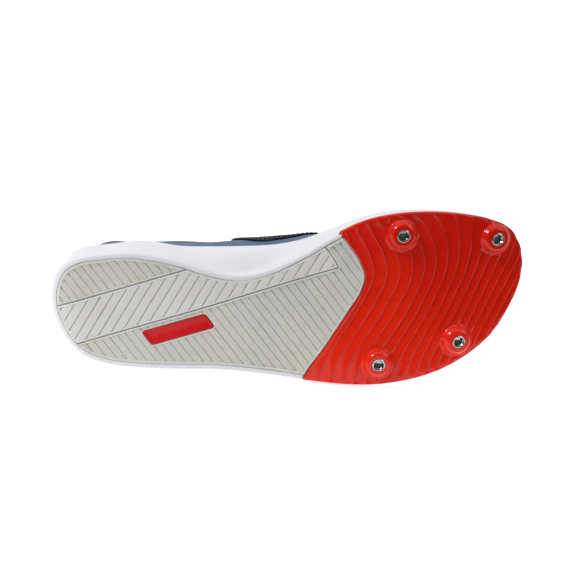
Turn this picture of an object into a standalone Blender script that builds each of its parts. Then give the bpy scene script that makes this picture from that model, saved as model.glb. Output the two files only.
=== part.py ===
"""Track spike shoe for the left foot, laid down on its lateral side.

The shoe is modelled standing: x runs from the heel's back to the toe, y to the lateral side and z up
from the floor. The tables hold shares of the named sizes, a row for each place. Sections stand in
upright planes: side by side along the foot, and fanned round one upright axis at the heel and at the
toe. A last step lays the finished shoe on the floor, where it comes to rest.
"""

import math

import bmesh
import bpy
import numpy as np
from mathutils import Matrix, Vector

# Driving dimensions, in metres
SOLE_LENGTH = 0.285
BALL_WIDTH = 0.105
INSTEP_RISE = 0.064
HEEL_STACK = 0.022
BALL_STACK = 0.011
TOE_STACK = 0.0085
HEEL_BEVEL = 0.004
BEVEL_REACH = 0.012
TOE_SPRING = 0.020
GAP = 0.0003

# Upper and what lies on and under it
UPPER_WALL = 0.0016
THROAT_HALF = 0.0058
EYESTAY_THICK = 0.0009
EYESTAY_GAP = 0.00048
EYESTAY_MARGIN = 0.0016
EYELET_RADIUS = 0.0018
EYELET_INSET = 0.0068
EYELET_PAIRS = 6
TONGUE_THICK = 0.0030
TONGUE_GAP = 0.0008
TONGUE_HALF_WIDTH = 0.0165
TONGUE_TOP_HALF_WIDTH = 0.0088
TONGUE_ABOVE = 0.020
INSOLE_THICK = 0.0030
LACE_WIDTH = 0.0046
LACE_THICK = 0.0013
LACE_CLEARANCE = 0.0008

# Sole pieces
RIM_WIDTH = 0.0036
RIM_HEIGHT = 0.0055
CREASE_DEPTH = 0.0010
CREASE_HEIGHT = 0.0074
LIP_THICK = 0.0028
FLANK_SHARE = 0.25
PLATE_THICK = 0.0030
POD_THICK = 0.0030
BADGE_LENGTH = 0.0395
BADGE_WIDTH = 0.0095
BADGE_THICK = 0.0018
BADGE_ROUND = 0.0022
BAND_WIDTH = 0.0252
COLLAR_STRIP = 0.0145
BOSS_HEIGHT = 0.0045
BOSS_BASE_RADIUS = 0.0097
BOSS_FACE_RADIUS = 0.0064
SOCKET_RADIUS = 0.0039
SOCKET_BORE_RADIUS = 0.0025
SOCKET_DEPTH = 0.0060
SOCKET_PROUD = 0.0002
SOCKET_FLOOR = 0.0012

# How far the cutters reach, past all that they cut
CUT_REACH = PLATE_THICK + POD_THICK + BOSS_HEIGHT
FAR = 2 * SOLE_LENGTH

# Places along the shoe, as shares of the sole's length
HEEL_CENTRE = 0.125
TOE_CENTRE = 0.80
HEEL_BEVEL_END = 0.06
ARCH_START = 0.28
ARCH_END = 0.55
WAIST = 0.40
SPRING_START = 0.66
SPRING_POWER = 1.7
STACK_START = 0.25
STACK_END = 0.62
THROAT_TOP = 0.42
THROAT_FRONT = 0.635
THROAT_ROUND = 0.025
THROAT_CLOSES = 0.53
EYESTAY_BACK = 0.375
EYESTAY_FRONT = 0.672
EYELET_BACK = 0.418
EYELET_FRONT = 0.602
TONGUE_FRONT = 0.66
TONGUE_NARROWS = 0.47

# Sole outline at the rim: share of the length, then the medial and the lateral edge as shares of the
# ball width
OUTLINE_HEEL = (0.0, -0.005)
OUTLINE_TOE = (1.0, -0.103)
OUTLINE = (
    (0.010, -0.170, 0.093),
    (0.030, -0.251, 0.200),
    (0.060, -0.293, 0.283),
    (0.110, -0.312, 0.342),
    (0.160, -0.318, 0.366),
    (0.220, -0.293, 0.383),
    (0.270, -0.256, 0.391),
    (0.330, -0.194, 0.401),
    (0.400, -0.153, 0.428),
    (0.460, -0.180, 0.460),
    (0.530, -0.260, 0.501),
    (0.600, -0.362, 0.531),
    (0.660, -0.430, 0.543),
    (0.730, -0.460, 0.533),
    (0.800, -0.457, 0.497),
    (0.870, -0.428, 0.419),
    (0.930, -0.381, 0.300),
    (0.970, -0.322, 0.152),
    (0.992, -0.229, 0.024),
)

# Centre line that the sections start from: share of the length, share of the ball width
CENTRE_LINE = (
    (0.125, 0.019),
    (0.200, 0.014),
    (0.300, 0.000),
    (0.420, -0.019),
    (0.500, -0.033),
    (0.600, -0.043),
    (0.700, -0.041),
    (0.800, -0.020),
)

# Sections of the upper, a row for each place from the heel's back (0) to the toe's tip (1). Inset of
# its foot from the sole's rim, foot handle, edge radius and edge handle are shares of the ball width,
# edge rise over the footbed and bite (how far the midsole wraps it) of the instep rise. Lean is the
# angle out of upright at the foot, slope the angle under level at the edge, in degrees
# place, inset, lean, foot handle, edge radius, edge rise, slope, edge handle, bite
LATERAL = (
    (0.000, 0.048, 14.0, 0.210, 0.262, 1.031, 82.0, 0.248, 0.190),
    (0.0625, 0.048, 12.0, 0.190, 0.257, 0.938, 86.0, 0.210, 0.175),
    (0.125, 0.052, 10.0, 0.171, 0.238, 0.790, 88.0, 0.171, 0.160),
    (0.200, 0.067, 8.0, 0.152, 0.240, 0.672, 86.0, 0.152, 0.150),
    (0.300, 0.071, 6.0, 0.171, 0.200, 0.734, 74.0, 0.190, 0.140),
    (0.360, 0.069, 6.0, 0.181, 0.150, 0.870, 56.0, 0.215, 0.130),
    (0.420, 0.067, 6.0, 0.190, 0.088, 0.984, 36.0, 0.260, 0.120),
    (0.500, 0.057, 6.0, 0.181, 0.076, 0.890, 22.0, 0.290, 0.110),
    (0.600, 0.048, 6.0, 0.162, 0.060, 0.742, 6.0, 0.325, 0.100),
    (0.700, 0.043, 7.0, 0.143, 0.000, 0.578, 0.0, 0.340, 0.095),
    (0.800, 0.045, 9.0, 0.130, 0.000, 0.455, 0.0, 0.290, 0.095),
    (0.900, 0.054, 11.0, 0.110, 0.000, 0.455, 0.0, 0.265, 0.100),
)
MEDIAL = (
    (0.0625, 0.048, 12.0, 0.190, 0.252, 0.953, 85.0, 0.210, 0.175),
    (0.125, 0.052, 10.0, 0.171, 0.235, 0.828, 88.0, 0.171, 0.160),
    (0.200, 0.030, 9.0, 0.171, 0.232, 0.734, 86.0, 0.152, 0.145),
    (0.270, 0.020, 10.0, 0.180, 0.212, 0.760, 80.0, 0.175, 0.130),
    (0.330, -0.034, 11.0, 0.185, 0.167, 0.850, 66.0, 0.205, 0.122),
    (0.400, -0.072, 12.0, 0.190, 0.100, 0.970, 45.0, 0.225, 0.118),
    (0.460, -0.050, 11.0, 0.185, 0.080, 0.938, 34.0, 0.225, 0.112),
    (0.530, -0.003, 9.0, 0.175, 0.072, 0.850, 20.0, 0.205, 0.105),
    (0.600, 0.028, 8.0, 0.170, 0.060, 0.742, 6.0, 0.190, 0.100),
    (0.700, 0.038, 8.0, 0.175, 0.000, 0.578, 0.0, 0.205, 0.095),
    (0.800, 0.043, 9.0, 0.145, 0.000, 0.455, 0.0, 0.230, 0.095),
    (0.900, 0.052, 11.0, 0.120, 0.000, 0.455, 0.0, 0.245, 0.100),
)
TOE_TIP = (1.000, 0.062, 13.0, 0.095, 0.000, 0.455, 0.0, 0.250, 0.110)

# Lower edge of the eyestay, as a share of the way from the midsole's edge up to the throat
# place, lateral, medial
EYESTAY_EDGE = (
    (0.375, 0.70, 0.62),
    (0.420, 0.66, 0.34),
    (0.500, 0.66, 0.32),
    (0.560, 0.66, 0.46),
    (0.620, 0.68, 0.58),
    (0.672, 0.74, 0.70),
)

# Rear edge of the spike plate, from the lateral side to the medial one, in shares of the length and
# of the ball width. Both ends lie past the rim
PLATE_EDGE = (
    (0.505, 0.620),
    (0.522, 0.478),
    (0.568, 0.304),
    (0.622, 0.090),
    (0.649, -0.022),
    (0.658, -0.110),
    (0.650, -0.190),
    (0.628, -0.290),
    (0.606, -0.378),
    (0.570, -0.520),
)

# The light band crosses the sole at a slant: where its middle line passes the heel's back, and its
# rise to the lateral side per length
BAND_START = 0.118
BAND_SLANT = -0.25

# Middle of the badge, and of the spike sockets, in shares of the length and of the ball width
BADGE_PLACE = (0.263, 0.147)
BADGE_TURN = -13.8
BADGE_END_TURN = 58.0
SOCKET_PLACES = ((0.737, -0.340), (0.936, -0.272), (0.680, 0.406), (0.850, 0.309))

# Rounded edges of the midsole and of the plate, from the underside up: inset as a share of the rim's
# width, height as a share of the rim's height and of the plate's thickness
RIM_ROUND = ((1.0, 0.0), (0.25, 0.12), (0.0, 0.45), (0.0, 1.0))
PLATE_ROUND = ((0.8, 0.0), (0.25, 0.23), (0.0, 0.8), (0.0, 1.0))

# Rings between the middle and the rim, and rows of the tongue's free end, as shares of the way
UNDERSIDE_RINGS = (0, 0.6, 0.8)
FOOTBED_RINGS = (0, 0.33, 0.66, 1)
TONGUE_END_ROWS = (0.4, 0.75, 1.0)

# How far a crossing of the lace runs on past its eyelets, as a share of its length
LACE_OVERRUN = 0.05

# How finely the sections, rings and tubes are cut
HEEL_COLUMNS = 6
MIDDLE_COLUMNS = 12
ROUND_COLUMNS = 4
VAMP_COLUMNS = 4
TOE_COLUMNS = 7
LOW_ROWS = 2
HIGH_ROWS = 8
EYESTAY_ROWS = 6
TONGUE_ROWS = 12
LACE_STEPS = 5
OUTLINE_STEPS = 1200
ROUND_SIDES = 20
HOLE_SIDES = 6
TONGUE_COLUMNS = 9
BEVEL_CUTS = 5
BEND_CUTS = 17
EDGE_STEPS = 19
CORNER_STEPS = 4
SHARP_ANGLE = 35.0

# Densities used only to find how the shoe comes to rest, in kg per cubic metre
DENSITIES = {"foam": 220, "rubber": 1150, "plate": 1100, "fabric": 450, "steel": 7800, "liner": 250}

# Colour, roughness and metallic of each material
MATERIALS = {
    "white_foam": ((0.66, 0.67, 0.68), 0.5, 0.0),
    "grey_rubber": ((0.53, 0.52, 0.47), 0.6, 0.0),
    "red_plastic": ((0.72, 0.035, 0.012), 0.25, 0.0),
    "badge_red": ((0.58, 0.012, 0.018), 0.35, 0.0),
    "steel": ((0.6, 0.6, 0.6), 0.3, 1.0),
    "blue_mesh": ((0.021, 0.09, 0.22), 0.8, 0.0),
    "black_overlay": ((0.006, 0.008, 0.012), 0.5, 0.0),
    "dark_lining": ((0.015, 0.03, 0.06), 0.9, 0.0),
    "black_lace": ((0.012, 0.012, 0.014), 0.85, 0.0),
}


def smooth(share):
    """An S-shaped step from 0 to 1."""
    share = np.clip(share, 0.0, 1.0)
    return share * share * (3 - 2 * share)


def read_table(keys, rows, at, period=None):
    """Rows of a table at places between its own, on a smooth curve through all of them."""
    keys = np.asarray(keys, float)
    rows = np.asarray(rows, float)
    if period:
        keys = np.concatenate([keys[-2:] - period, keys, keys[:2] + period])
        rows = np.concatenate([rows[-2:], rows, rows[:2]])
    slopes = np.gradient(rows, keys, axis=0)
    at = np.atleast_1d(at)
    i = np.clip(np.searchsorted(keys, at, side="right") - 1, 0, len(keys) - 2)
    span = (keys[i + 1] - keys[i])[:, None]
    t = (at - keys[i])[:, None] / span
    start = (1 + 2 * t) * (1 - t) ** 2 * rows[i] + t * (1 - t) ** 2 * span * slopes[i]
    end = t * t * (3 - 2 * t) * rows[i + 1] - t * t * (1 - t) * span * slopes[i + 1]
    return start + end


def underside(x):
    """Height of the sole's underside without the bevel of the heel."""
    t = np.asarray(x) / SOLE_LENGTH
    arch = BOSS_HEIGHT * smooth((t - ARCH_START) / (ARCH_END - ARCH_START))
    spring = np.clip((t - SPRING_START) / (1 - SPRING_START), 0, None) ** SPRING_POWER
    return arch + TOE_SPRING * spring


def heel_bevel(x):
    """How much higher the underside lies at the heel's back than under the heel."""
    return HEEL_BEVEL * np.clip(1 - np.asarray(x) / SOLE_LENGTH / HEEL_BEVEL_END, 0, None) ** 2


def footbed(x):
    """Height of the midsole's top inside the upper."""
    t = np.asarray(x) / SOLE_LENGTH
    ball = smooth((t - STACK_START) / (STACK_END - STACK_START))
    toe = smooth((t - STACK_END) / (1 - STACK_END))
    stack = HEEL_STACK + (BALL_STACK - HEEL_STACK) * ball + (TOE_STACK - BALL_STACK) * toe
    return underside(x) + stack


def bent(points):
    """Flat points, with heights over a flat sole, carried onto the curve of the underside."""
    x, y, height = np.asarray(points, float).T
    step = 1e-5
    slope = (underside(x + step) - underside(x - step)) / (2 * step)
    along = 1 / np.sqrt(1 + slope * slope)
    bevel = heel_bevel(x) * np.clip(1 - height / BEVEL_REACH, 0, 1)
    return np.column_stack([x - height * slope * along, y, underside(x) + height * along + bevel])


def outline_loop():
    """The sole's outline, closed and finely cut, from the heel's back round the lateral side."""
    lateral = [(x, y) for x, _, y in OUTLINE]
    medial = [(x, y) for x, y, _ in reversed(OUTLINE)]
    loop = np.array([OUTLINE_HEEL, *lateral, OUTLINE_TOE, *medial])
    loop *= (SOLE_LENGTH, BALL_WIDTH)
    steps = np.linalg.norm(np.roll(loop, -1, axis=0) - loop, axis=1)
    keys = np.concatenate([[0], np.cumsum(steps)[:-1]])
    at = np.linspace(0, steps.sum(), OUTLINE_STEPS, endpoint=False)
    return read_table(keys, loop, at, period=steps.sum())


class Station:
    """An upright section plane: its place, its side (1 lateral, -1 medial), start and direction."""

    def __init__(self, place, side, loop):
        self.place = place
        self.side = side
        axis = min(max(place, HEEL_CENTRE), TOE_CENTRE)
        keys, rows = [row[0] for row in CENTRE_LINE], [row[1:] for row in CENTRE_LINE]
        centre = read_table(keys, rows, axis)[0, 0] * BALL_WIDTH
        self.start = np.array([axis * SOLE_LENGTH, centre])
        turn = math.pi / 2
        if place < HEEL_CENTRE:
            turn = math.pi * (1 - place / HEEL_CENTRE / 2)
        if place > TOE_CENTRE:
            turn = math.pi / 2 * (1 - place) / (1 - TOE_CENTRE)
        self.turn = turn
        self.way = np.array([math.cos(turn), side * math.sin(turn)])
        self.reach = self.ray(loop)

    def ray(self, loop):
        """How far the loop lies from the start along the section."""
        ahead = np.roll(loop, -1, axis=0) - loop
        back = loop - self.start
        cross = self.way[0] * ahead[:, 1] - self.way[1] * ahead[:, 0]
        cross[np.abs(cross) < 1e-15] = 1e-15
        far = (back[:, 0] * ahead[:, 1] - back[:, 1] * ahead[:, 0]) / cross
        share = (back[:, 0] * self.way[1] - back[:, 1] * self.way[0]) / cross
        hits = far[(share >= -1e-9) & (share <= 1 + 1e-9) & (far > 0)]
        return float(hits.max())

    def at(self, radius, height):
        """The point at this distance from the section's start, at this height."""
        plan = self.start + self.way * radius
        return np.array([plan[0], plan[1], height])


def table_row(place, side):
    """A section's sizes in metres and radians, read round the whole shoe as one closed table."""
    lateral = list(LATERAL) + [TOE_TIP]
    medial = [(2 - row[0], *row[1:]) for row in reversed(MEDIAL)]
    rows = np.array(lateral + medial)
    key = place if side > 0 else (2 - place) % 2
    row = read_table(rows[:, 0], rows[:, 1:], key, period=2.0)[0]
    width, rise = BALL_WIDTH, INSTEP_RISE
    scale = (width, math.radians(1), width, width, rise, math.radians(1), width, rise)
    return row * scale


def throat_half(place):
    """Half the throat's width where the sections close over it, down to 0 at its rounded end."""
    into = (place - THROAT_FRONT + THROAT_ROUND) / THROAT_ROUND
    return THROAT_HALF * math.sqrt(max(0.0, 1 - max(0.0, into) ** 2))


def section(station):
    """The upper's outer section there: a curve's four control points (radius, height), the height of
    the midsole's bite, and the share of the curve where the collar or the throat ends it."""
    place, side = station.place, station.side
    inset, lean, foot_handle, edge_radius, rise, slope, edge_handle, bite = table_row(place, side)
    closed = smooth((place - THROAT_CLOSES) / (THROAT_FRONT - THROAT_CLOSES))
    foot_radius = station.reach - inset
    foot = np.array([foot_radius, footbed(station.at(foot_radius, 0)[0]) + GAP])
    rise = rise * (1 - closed) + ridge_rise(place) * closed
    edge = np.array([edge_radius * (1 - closed), footbed(station.start[0]) + rise])
    down = -math.sin(slope)
    if place > TOE_CENTRE:
        down += ridge_slope() * math.cos(station.turn)
    control = np.array([
        foot,
        foot + foot_handle * np.array([math.sin(lean), math.cos(lean)]),
        edge + edge_handle * np.array([math.cos(slope), down]),
        edge,
    ])
    end = 1.0
    if throat_half(place) > edge[0] and place > THROAT_TOP:
        t = np.linspace(1, 0.5, 400)
        end = float(np.interp(throat_half(place), on_curve(control, t)[:, 0], t))
    return control, bite, end


def ridge_rise(place):
    """Rise of the vamp's ridge, where both sides meet, over the footbed."""
    place = min(place, TOE_CENTRE)
    return (table_row(place, 1)[4] + table_row(place, -1)[4]) / 2


def ridge_slope():
    """Rise of the vamp's ridge per length, where the fan of the toe takes over."""
    step = 0.01
    ends = [
        footbed(place * SOLE_LENGTH) + ridge_rise(place)
        for place in (TOE_CENTRE - step, TOE_CENTRE)
    ]
    return float(ends[1] - ends[0]) / (step * SOLE_LENGTH)


def on_curve(control, t):
    """Points (radius, height) of a section's curve."""
    t = np.atleast_1d(t)[:, None]
    parts = (1 - t) ** 3, 3 * t * (1 - t) ** 2, 3 * t * t * (1 - t), t**3
    return sum(part * point for part, point in zip(parts, control))


def bite_share(control, bite):
    """Where on its curve a section leaves the midsole."""
    t = np.linspace(0, 0.6, 200)
    return float(np.interp(control[0][1] + bite, on_curve(control, t)[:, 1], t))


def places():
    """Places of the sections along one side, closer together round the throat's front."""
    rounded = np.sin(np.linspace(0, math.pi / 2, ROUND_COLUMNS + 1))
    parts = (
        np.linspace(0, HEEL_CENTRE, HEEL_COLUMNS, endpoint=False),
        np.linspace(HEEL_CENTRE, THROAT_FRONT - THROAT_ROUND, MIDDLE_COLUMNS, endpoint=False),
        THROAT_FRONT - THROAT_ROUND + THROAT_ROUND * rounded[:-1],
        np.linspace(THROAT_FRONT, TOE_CENTRE, VAMP_COLUMNS, endpoint=False),
        np.linspace(TOE_CENTRE, 1, TOE_COLUMNS + 1),
    )
    return np.concatenate(parts)


def all_stations():
    """Every section plane in order, from the heel's back round the toe and back."""
    loop = outline_loop()
    shares = places()
    lateral = [Station(share, 1, loop) for share in shares]
    medial = [Station(share, -1, loop) for share in shares[1:-1][::-1]]
    return lateral + medial


def upper_row_shares(control, bite, end):
    """Shares of a section's curve at the upper's rows."""
    cut = bite_share(control, bite)
    low = np.linspace(0, cut, LOW_ROWS, endpoint=False)
    return np.concatenate([low, np.linspace(cut, end, HIGH_ROWS + 1)])


def grid_faces(columns, rows, closed=True):
    """Faces of a grid whose point (column, row) has the index column * rows + row."""
    faces = []
    for i in range(columns if closed else columns - 1):
        a, b = i * rows, (i + 1) % columns * rows
        faces += [(a + j, b + j, b + j + 1, a + j + 1) for j in range(rows - 1)]
    return faces


def welded(points, faces):
    """Points that coincide made one, with the new index of each, and collapsed faces dropped."""
    points = np.asarray(points, float)
    _, first, index = np.unique(
        np.round(points, 7), axis=0, return_index=True, return_inverse=True
    )
    index = index.reshape(-1)
    kept = []
    for face in faces:
        ring = [int(index[i]) for i in face]
        ring = [p for k, p in enumerate(ring) if p != ring[k - 1]]
        if len(ring) > 2:
            kept.append(tuple(ring))
    return points[first], kept, index


def point_normals(points, faces):
    """A unit normal for each point, from the faces round it."""
    normals = np.zeros_like(points)
    for face in faces:
        corners = points[list(face)]
        area = np.zeros(3)
        for k in range(len(face)):
            area += np.cross(corners[k - 1], corners[k])
        normals[list(face)] += area
    return normals / np.linalg.norm(normals, axis=1)[:, None]


def thickened(points, faces, out, into):
    """A sheet made a closed wall, from this far outside it to this far inside."""
    points, faces, _ = welded(points, faces)
    normals = point_normals(points, faces)
    count = len(points)
    both = np.concatenate([points + out * normals, points - into * normals])
    walls = list(faces) + [tuple(i + count for i in reversed(face)) for face in faces]
    ways = {(face[k - 1], face[k]) for face in faces for k in range(len(face))}
    for a, b in sorted(ways):
        if (b, a) not in ways:
            walls.append((b, a, a + count, b + count))
    return both, walls


def skin(rings):
    """A closed solid over closed rings of points, whose first and last ring fall together."""
    grid = np.stack(rings, axis=1)
    columns, rows = grid.shape[:2]
    faces = grid_faces(columns, rows)
    points, faces, _ = welded(grid.reshape(-1, 3), faces)
    return points, faces


def mesh_of(name, points, faces):
    """A mesh with its faces turned outwards."""
    mesh = bpy.data.meshes.new(name)
    mesh.from_pydata([tuple(point) for point in points], [], faces)
    work = bmesh.new()
    work.from_mesh(mesh)
    bmesh.ops.triangulate(work, faces=[f for f in work.faces if len(f.verts) > 3])
    bmesh.ops.recalc_face_normals(work, faces=work.faces)
    if work.calc_volume(signed=True) < 0:
        bmesh.ops.reverse_faces(work, faces=work.faces)
    work.to_mesh(mesh)
    work.free()
    return mesh


def prism(name, outline, low, high, top=None):
    """A mesh with this outline in plan between two heights, or with another outline at its top."""
    count = len(outline)
    top = outline if top is None else top
    points = [(x, y, low) for x, y in outline] + [(x, y, high) for x, y in top]
    faces = [tuple(range(count)), tuple(range(2 * count - 1, count - 1, -1))]
    faces += [(i, (i + 1) % count, (i + 1) % count + count, i + count) for i in range(count)]
    mesh = bpy.data.meshes.new(name)
    mesh.from_pydata(points, [], faces)
    work = bmesh.new()
    work.from_mesh(mesh)
    bmesh.ops.recalc_face_normals(work, faces=work.faces)
    work.to_mesh(mesh)
    work.free()
    return mesh


def cone(name, place, low, high, low_radius, high_radius):
    """An upright round solid round a place of the sole."""
    turns = np.linspace(0, 2 * math.pi, ROUND_SIDES, endpoint=False)
    circle = np.column_stack([np.cos(turns), np.sin(turns)])
    middle = np.array(place) * (SOLE_LENGTH, BALL_WIDTH)
    return prism(name, middle + circle * low_radius, low, high, middle + circle * high_radius)


def combined(mesh, others, operation):
    """A mesh after Boolean operations with others, in the order given."""
    for other in others:
        body = bpy.data.objects.new("body", mesh)
        tool = bpy.data.objects.new("tool", other)
        for thing in (body, tool):
            bpy.context.scene.collection.objects.link(thing)
        modifier = body.modifiers.new("Boolean", "BOOLEAN")
        modifier.operation = operation
        modifier.object = tool
        graph = bpy.context.evaluated_depsgraph_get()
        mesh = bpy.data.meshes.new_from_object(body.evaluated_get(graph))
        bpy.data.objects.remove(body)
        bpy.data.objects.remove(tool)
    return mesh


def bend_stations():
    """Where flat pieces are cut across before they are bent, so that all bend alike."""
    heel = np.linspace(0, HEEL_BEVEL_END, BEVEL_CUTS + 1)[1:]
    rest = np.linspace(ARCH_START, 1, BEND_CUTS, endpoint=False)
    return np.concatenate([heel, rest]) * SOLE_LENGTH


def bend(mesh):
    """Carries a flat mesh onto the curve of the underside."""
    work = bmesh.new()
    work.from_mesh(mesh)
    for x in bend_stations():
        everything = work.verts[:] + work.edges[:] + work.faces[:]
        bmesh.ops.bisect_plane(work, geom=everything, plane_co=(x, 0, 0), plane_no=(1, 0, 0))
    bmesh.ops.triangulate(work, faces=work.faces)
    points = bent([tuple(vert.co) for vert in work.verts])
    for vert, point in zip(work.verts, points):
        vert.co = point
    bmesh.ops.recalc_face_normals(work, faces=work.faces)
    work.to_mesh(mesh)
    work.free()
    return mesh


def grown(outline, distance):
    """An outline in plan moved outwards by a distance, or inwards by a negative one."""
    outline = np.asarray(outline, float)
    turn = np.roll(outline, -1, axis=0)
    area = np.sum(outline[:, 0] * turn[:, 1] - outline[:, 1] * turn[:, 0])
    ahead = turn - outline
    ahead /= np.linalg.norm(ahead, axis=1)[:, None]
    normal = np.column_stack([ahead[:, 1], -ahead[:, 0]]) * np.sign(area)
    before = np.roll(normal, 1, axis=0)
    corner = (normal + before) / (1 + np.sum(normal * before, axis=1))[:, None]
    return outline + corner * distance


def rim_outline(stations, inset):
    """The sole's outline in plan, this far inside its rim."""
    return grown([station.at(station.reach, 0)[:2] for station in stations], -inset)


def plate_region(shift):
    """All that lies ahead of the plate's rear edge, moved back by a distance."""
    edge = plate_edge()
    return grown([*edge, (FAR, edge[-1][1]), (FAR, edge[0][1])], shift)


def band_line(x, side):
    """Where the band's lateral (1) or medial (-1) edge runs at a length along the shoe."""
    half = BAND_WIDTH / 2 * math.sqrt(1 + BAND_SLANT**2)
    return BAND_START * BALL_WIDTH + side * half + BAND_SLANT * x


def collar_edge():
    """Rear edge of the strip of grey rubber behind the plate, from the lateral to the medial side."""
    return plate_edge() - (COLLAR_STRIP, 0)


def plate_edge():
    """The plate's rear edge, finely cut."""
    edge = np.array(PLATE_EDGE) * (SOLE_LENGTH, BALL_WIDTH)
    steps = np.linalg.norm(np.diff(edge, axis=0), axis=1)
    keys = np.concatenate([[0], np.cumsum(steps)])
    return read_table(keys, edge, np.linspace(0, keys[-1], EDGE_STEPS))


def band_front():
    """The band's front edge, along the strip behind the plate, from the medial to the lateral side."""
    edge = collar_edge()[::-1]
    ends = []
    for side in (-1, 1):
        past = edge[:, 1] - band_line(edge[:, 0], side)
        k = int(np.argmax(past > 0))
        share = past[k] / (past[k] - past[k - 1])
        ends.append(edge[k] + (edge[k - 1] - edge[k]) * share)
    low, high = ends[0][1] + 2 * GAP, ends[1][1] - 2 * GAP
    between = [point for point in edge if low < point[1] < high]
    return [ends[0], *between, ends[1]]


def waist():
    """The corner in plan where the medial edge of the band leaves the sole for good."""
    x = WAIST * SOLE_LENGTH
    return x, band_line(x, -1)


def band_outline():
    """The light band in plan, from behind the heel to the strip behind the plate. Ahead of the waist it
    takes in all that lies on its medial side."""
    front = band_front()
    edge = collar_edge()[::-1]
    beyond = [point for point in edge if point[1] < front[0][1]]
    x, y = waist()
    low = edge[0][1]
    return [(-FAR, band_line(-FAR, 1)), (-FAR, band_line(-FAR, -1)), (x, y), (x, low), *beyond, *front]


def medial_of_band():
    """The band in plan with all that lies between it and the medial side."""
    front = band_front()
    edge = collar_edge()[::-1]
    beyond = [point for point in edge if point[1] < front[0][1]]
    low = edge[0][1]
    return [(-FAR, band_line(-FAR, 1)), (-FAR, low), *beyond, *front]


def badge_outline(shift):
    """A slanted tablet with rounded corners."""
    turn, end_turn = math.radians(BADGE_TURN), math.radians(BADGE_END_TURN)
    along = np.array([math.cos(turn), math.sin(turn)])
    across = np.array([math.cos(end_turn), math.sin(end_turn)])
    middle = np.array(BADGE_PLACE) * (SOLE_LENGTH, BALL_WIDTH)
    reach = BADGE_WIDTH / 2 / math.sin(end_turn - turn)
    half = BADGE_LENGTH / 2
    corners = [middle + a * half * along + b * reach * across
               for a, b in ((-1, -1), (1, -1), (1, 1), (-1, 1))]
    outline = []
    for k, corner in enumerate(corners):
        before, after = corners[k - 1] - corner, corners[(k + 1) % 4] - corner
        before /= np.linalg.norm(before)
        after /= np.linalg.norm(after)
        ends = corner + before * BADGE_ROUND, corner + after * BADGE_ROUND
        outline += [ends[0] * (1 - t) ** 2 + corner * 2 * t * (1 - t) + ends[1] * t * t
                    for t in np.linspace(0, 1, CORNER_STEPS)]
    return grown(outline, shift)


def upper_sheet(stations):
    """The upper's outer surface as a grid of points, and its faces."""
    columns = []
    for station in stations:
        control, bite, end = section(station)
        curve = on_curve(control, upper_row_shares(control, bite, end))
        columns.append([station.at(radius, height) for radius, height in curve])
    grid = np.array(columns)
    return grid, grid_faces(len(stations), grid.shape[1])


def outward_grid(grid, faces, distance):
    """The grid's points moved out along its normals."""
    columns, rows = grid.shape[:2]
    points, faces, index = welded(grid.reshape(-1, 3), faces)
    normals = point_normals(points, faces)
    return (points + normals * distance)[index].reshape(columns, rows, 3)


def facing_out(grid, faces):
    """The faces, turned so that their normals point out of the shoe."""
    points, kept, index = welded(grid.reshape(-1, 3), faces)
    normals = point_normals(points, kept)
    away = points - points.mean(axis=0)
    away[:, 2] = 0
    if np.sum(normals * away) < 0:
        return [tuple(reversed(face)) for face in faces]
    return faces


def ring_of(stations, inset, height):
    """A ring on the bent sole, this far inside the rim."""
    flat = [station.at(station.reach - inset, height) for station in stations]
    return bent(flat)


def share_ring(stations, share, height):
    """A ring on the bent sole, at this share of the way to the rim."""
    flat = [station.at(station.reach * share, height) for station in stations]
    return bent(flat)


def midsole_mesh(stations, grid, faces):
    """The foam cup: rounded rim, crease, flank, lip, the cup round the upper's foot and the footbed."""
    near = outward_grid(grid, faces, GAP)
    far = outward_grid(grid, faces, GAP + LIP_THICK)
    crease = ring_of(stations, CREASE_DEPTH, CREASE_HEIGHT)
    top = far[:, LOW_ROWS]
    flank = far[:, 0] * (1 - FLANK_SHARE) + far[:, 1] * FLANK_SHARE
    foot = near[:, 0].copy()
    foot[:, 2] -= GAP
    starts = np.array([station.start for station in stations])
    rings = [share_ring(stations, share, 0) for share in UNDERSIDE_RINGS]
    rings += [ring_of(stations, RIM_WIDTH * inset, RIM_HEIGHT * rise) for inset, rise in RIM_ROUND]
    rings += [crease, flank, top, near[:, LOW_ROWS]]
    rings += [near[:, row] for row in range(LOW_ROWS - 1, 0, -1)]
    rings.append(foot)
    for share in FOOTBED_RINGS[-2::-1]:
        plan = starts + (foot[:, :2] - starts) * share
        rings.append(np.column_stack([plan, footbed(plan[:, 0])]))
    body = mesh_of("midsole", *skin(rings))
    recess = prism("recess", rim_outline(stations, RIM_WIDTH - GAP), -POD_THICK, POD_THICK + GAP)
    band = prism("band", grown(band_outline(), -GAP), -CUT_REACH, CUT_REACH)
    recess = combined(recess, [band], "DIFFERENCE")
    front = prism("front", plate_region(GAP), -PLATE_THICK, PLATE_THICK + GAP)
    return combined(body, [bend(recess), bend(front)], "DIFFERENCE")


def heel_pod_mesh(stations):
    """The grey pod on the medial side of the heel, let into the midsole."""
    body = prism("pod", rim_outline(stations, RIM_WIDTH), 0, POD_THICK)
    x, y = waist()
    rest = [(-FAR, band_line(-FAR, -1)), (x, y), (x, -FAR), (FAR, -FAR), (FAR, FAR), (-FAR, FAR)]
    return bend(combined(body, [prism("rest", rest, -CUT_REACH, CUT_REACH)], "DIFFERENCE"))


def side_pod_mesh(stations):
    """The grey pod along the lateral side, with the strip behind the plate and the badge's seat."""
    body = prism("pod", rim_outline(stations, RIM_WIDTH), 0, POD_THICK)
    tools = [
        prism("front", plate_region(2 * GAP), -CUT_REACH, CUT_REACH),
        prism("rest", medial_of_band(), -CUT_REACH, CUT_REACH),
        prism("badge", badge_outline(GAP), -CUT_REACH, BADGE_THICK + GAP),
    ]
    return bend(combined(body, tools, "DIFFERENCE"))


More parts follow.
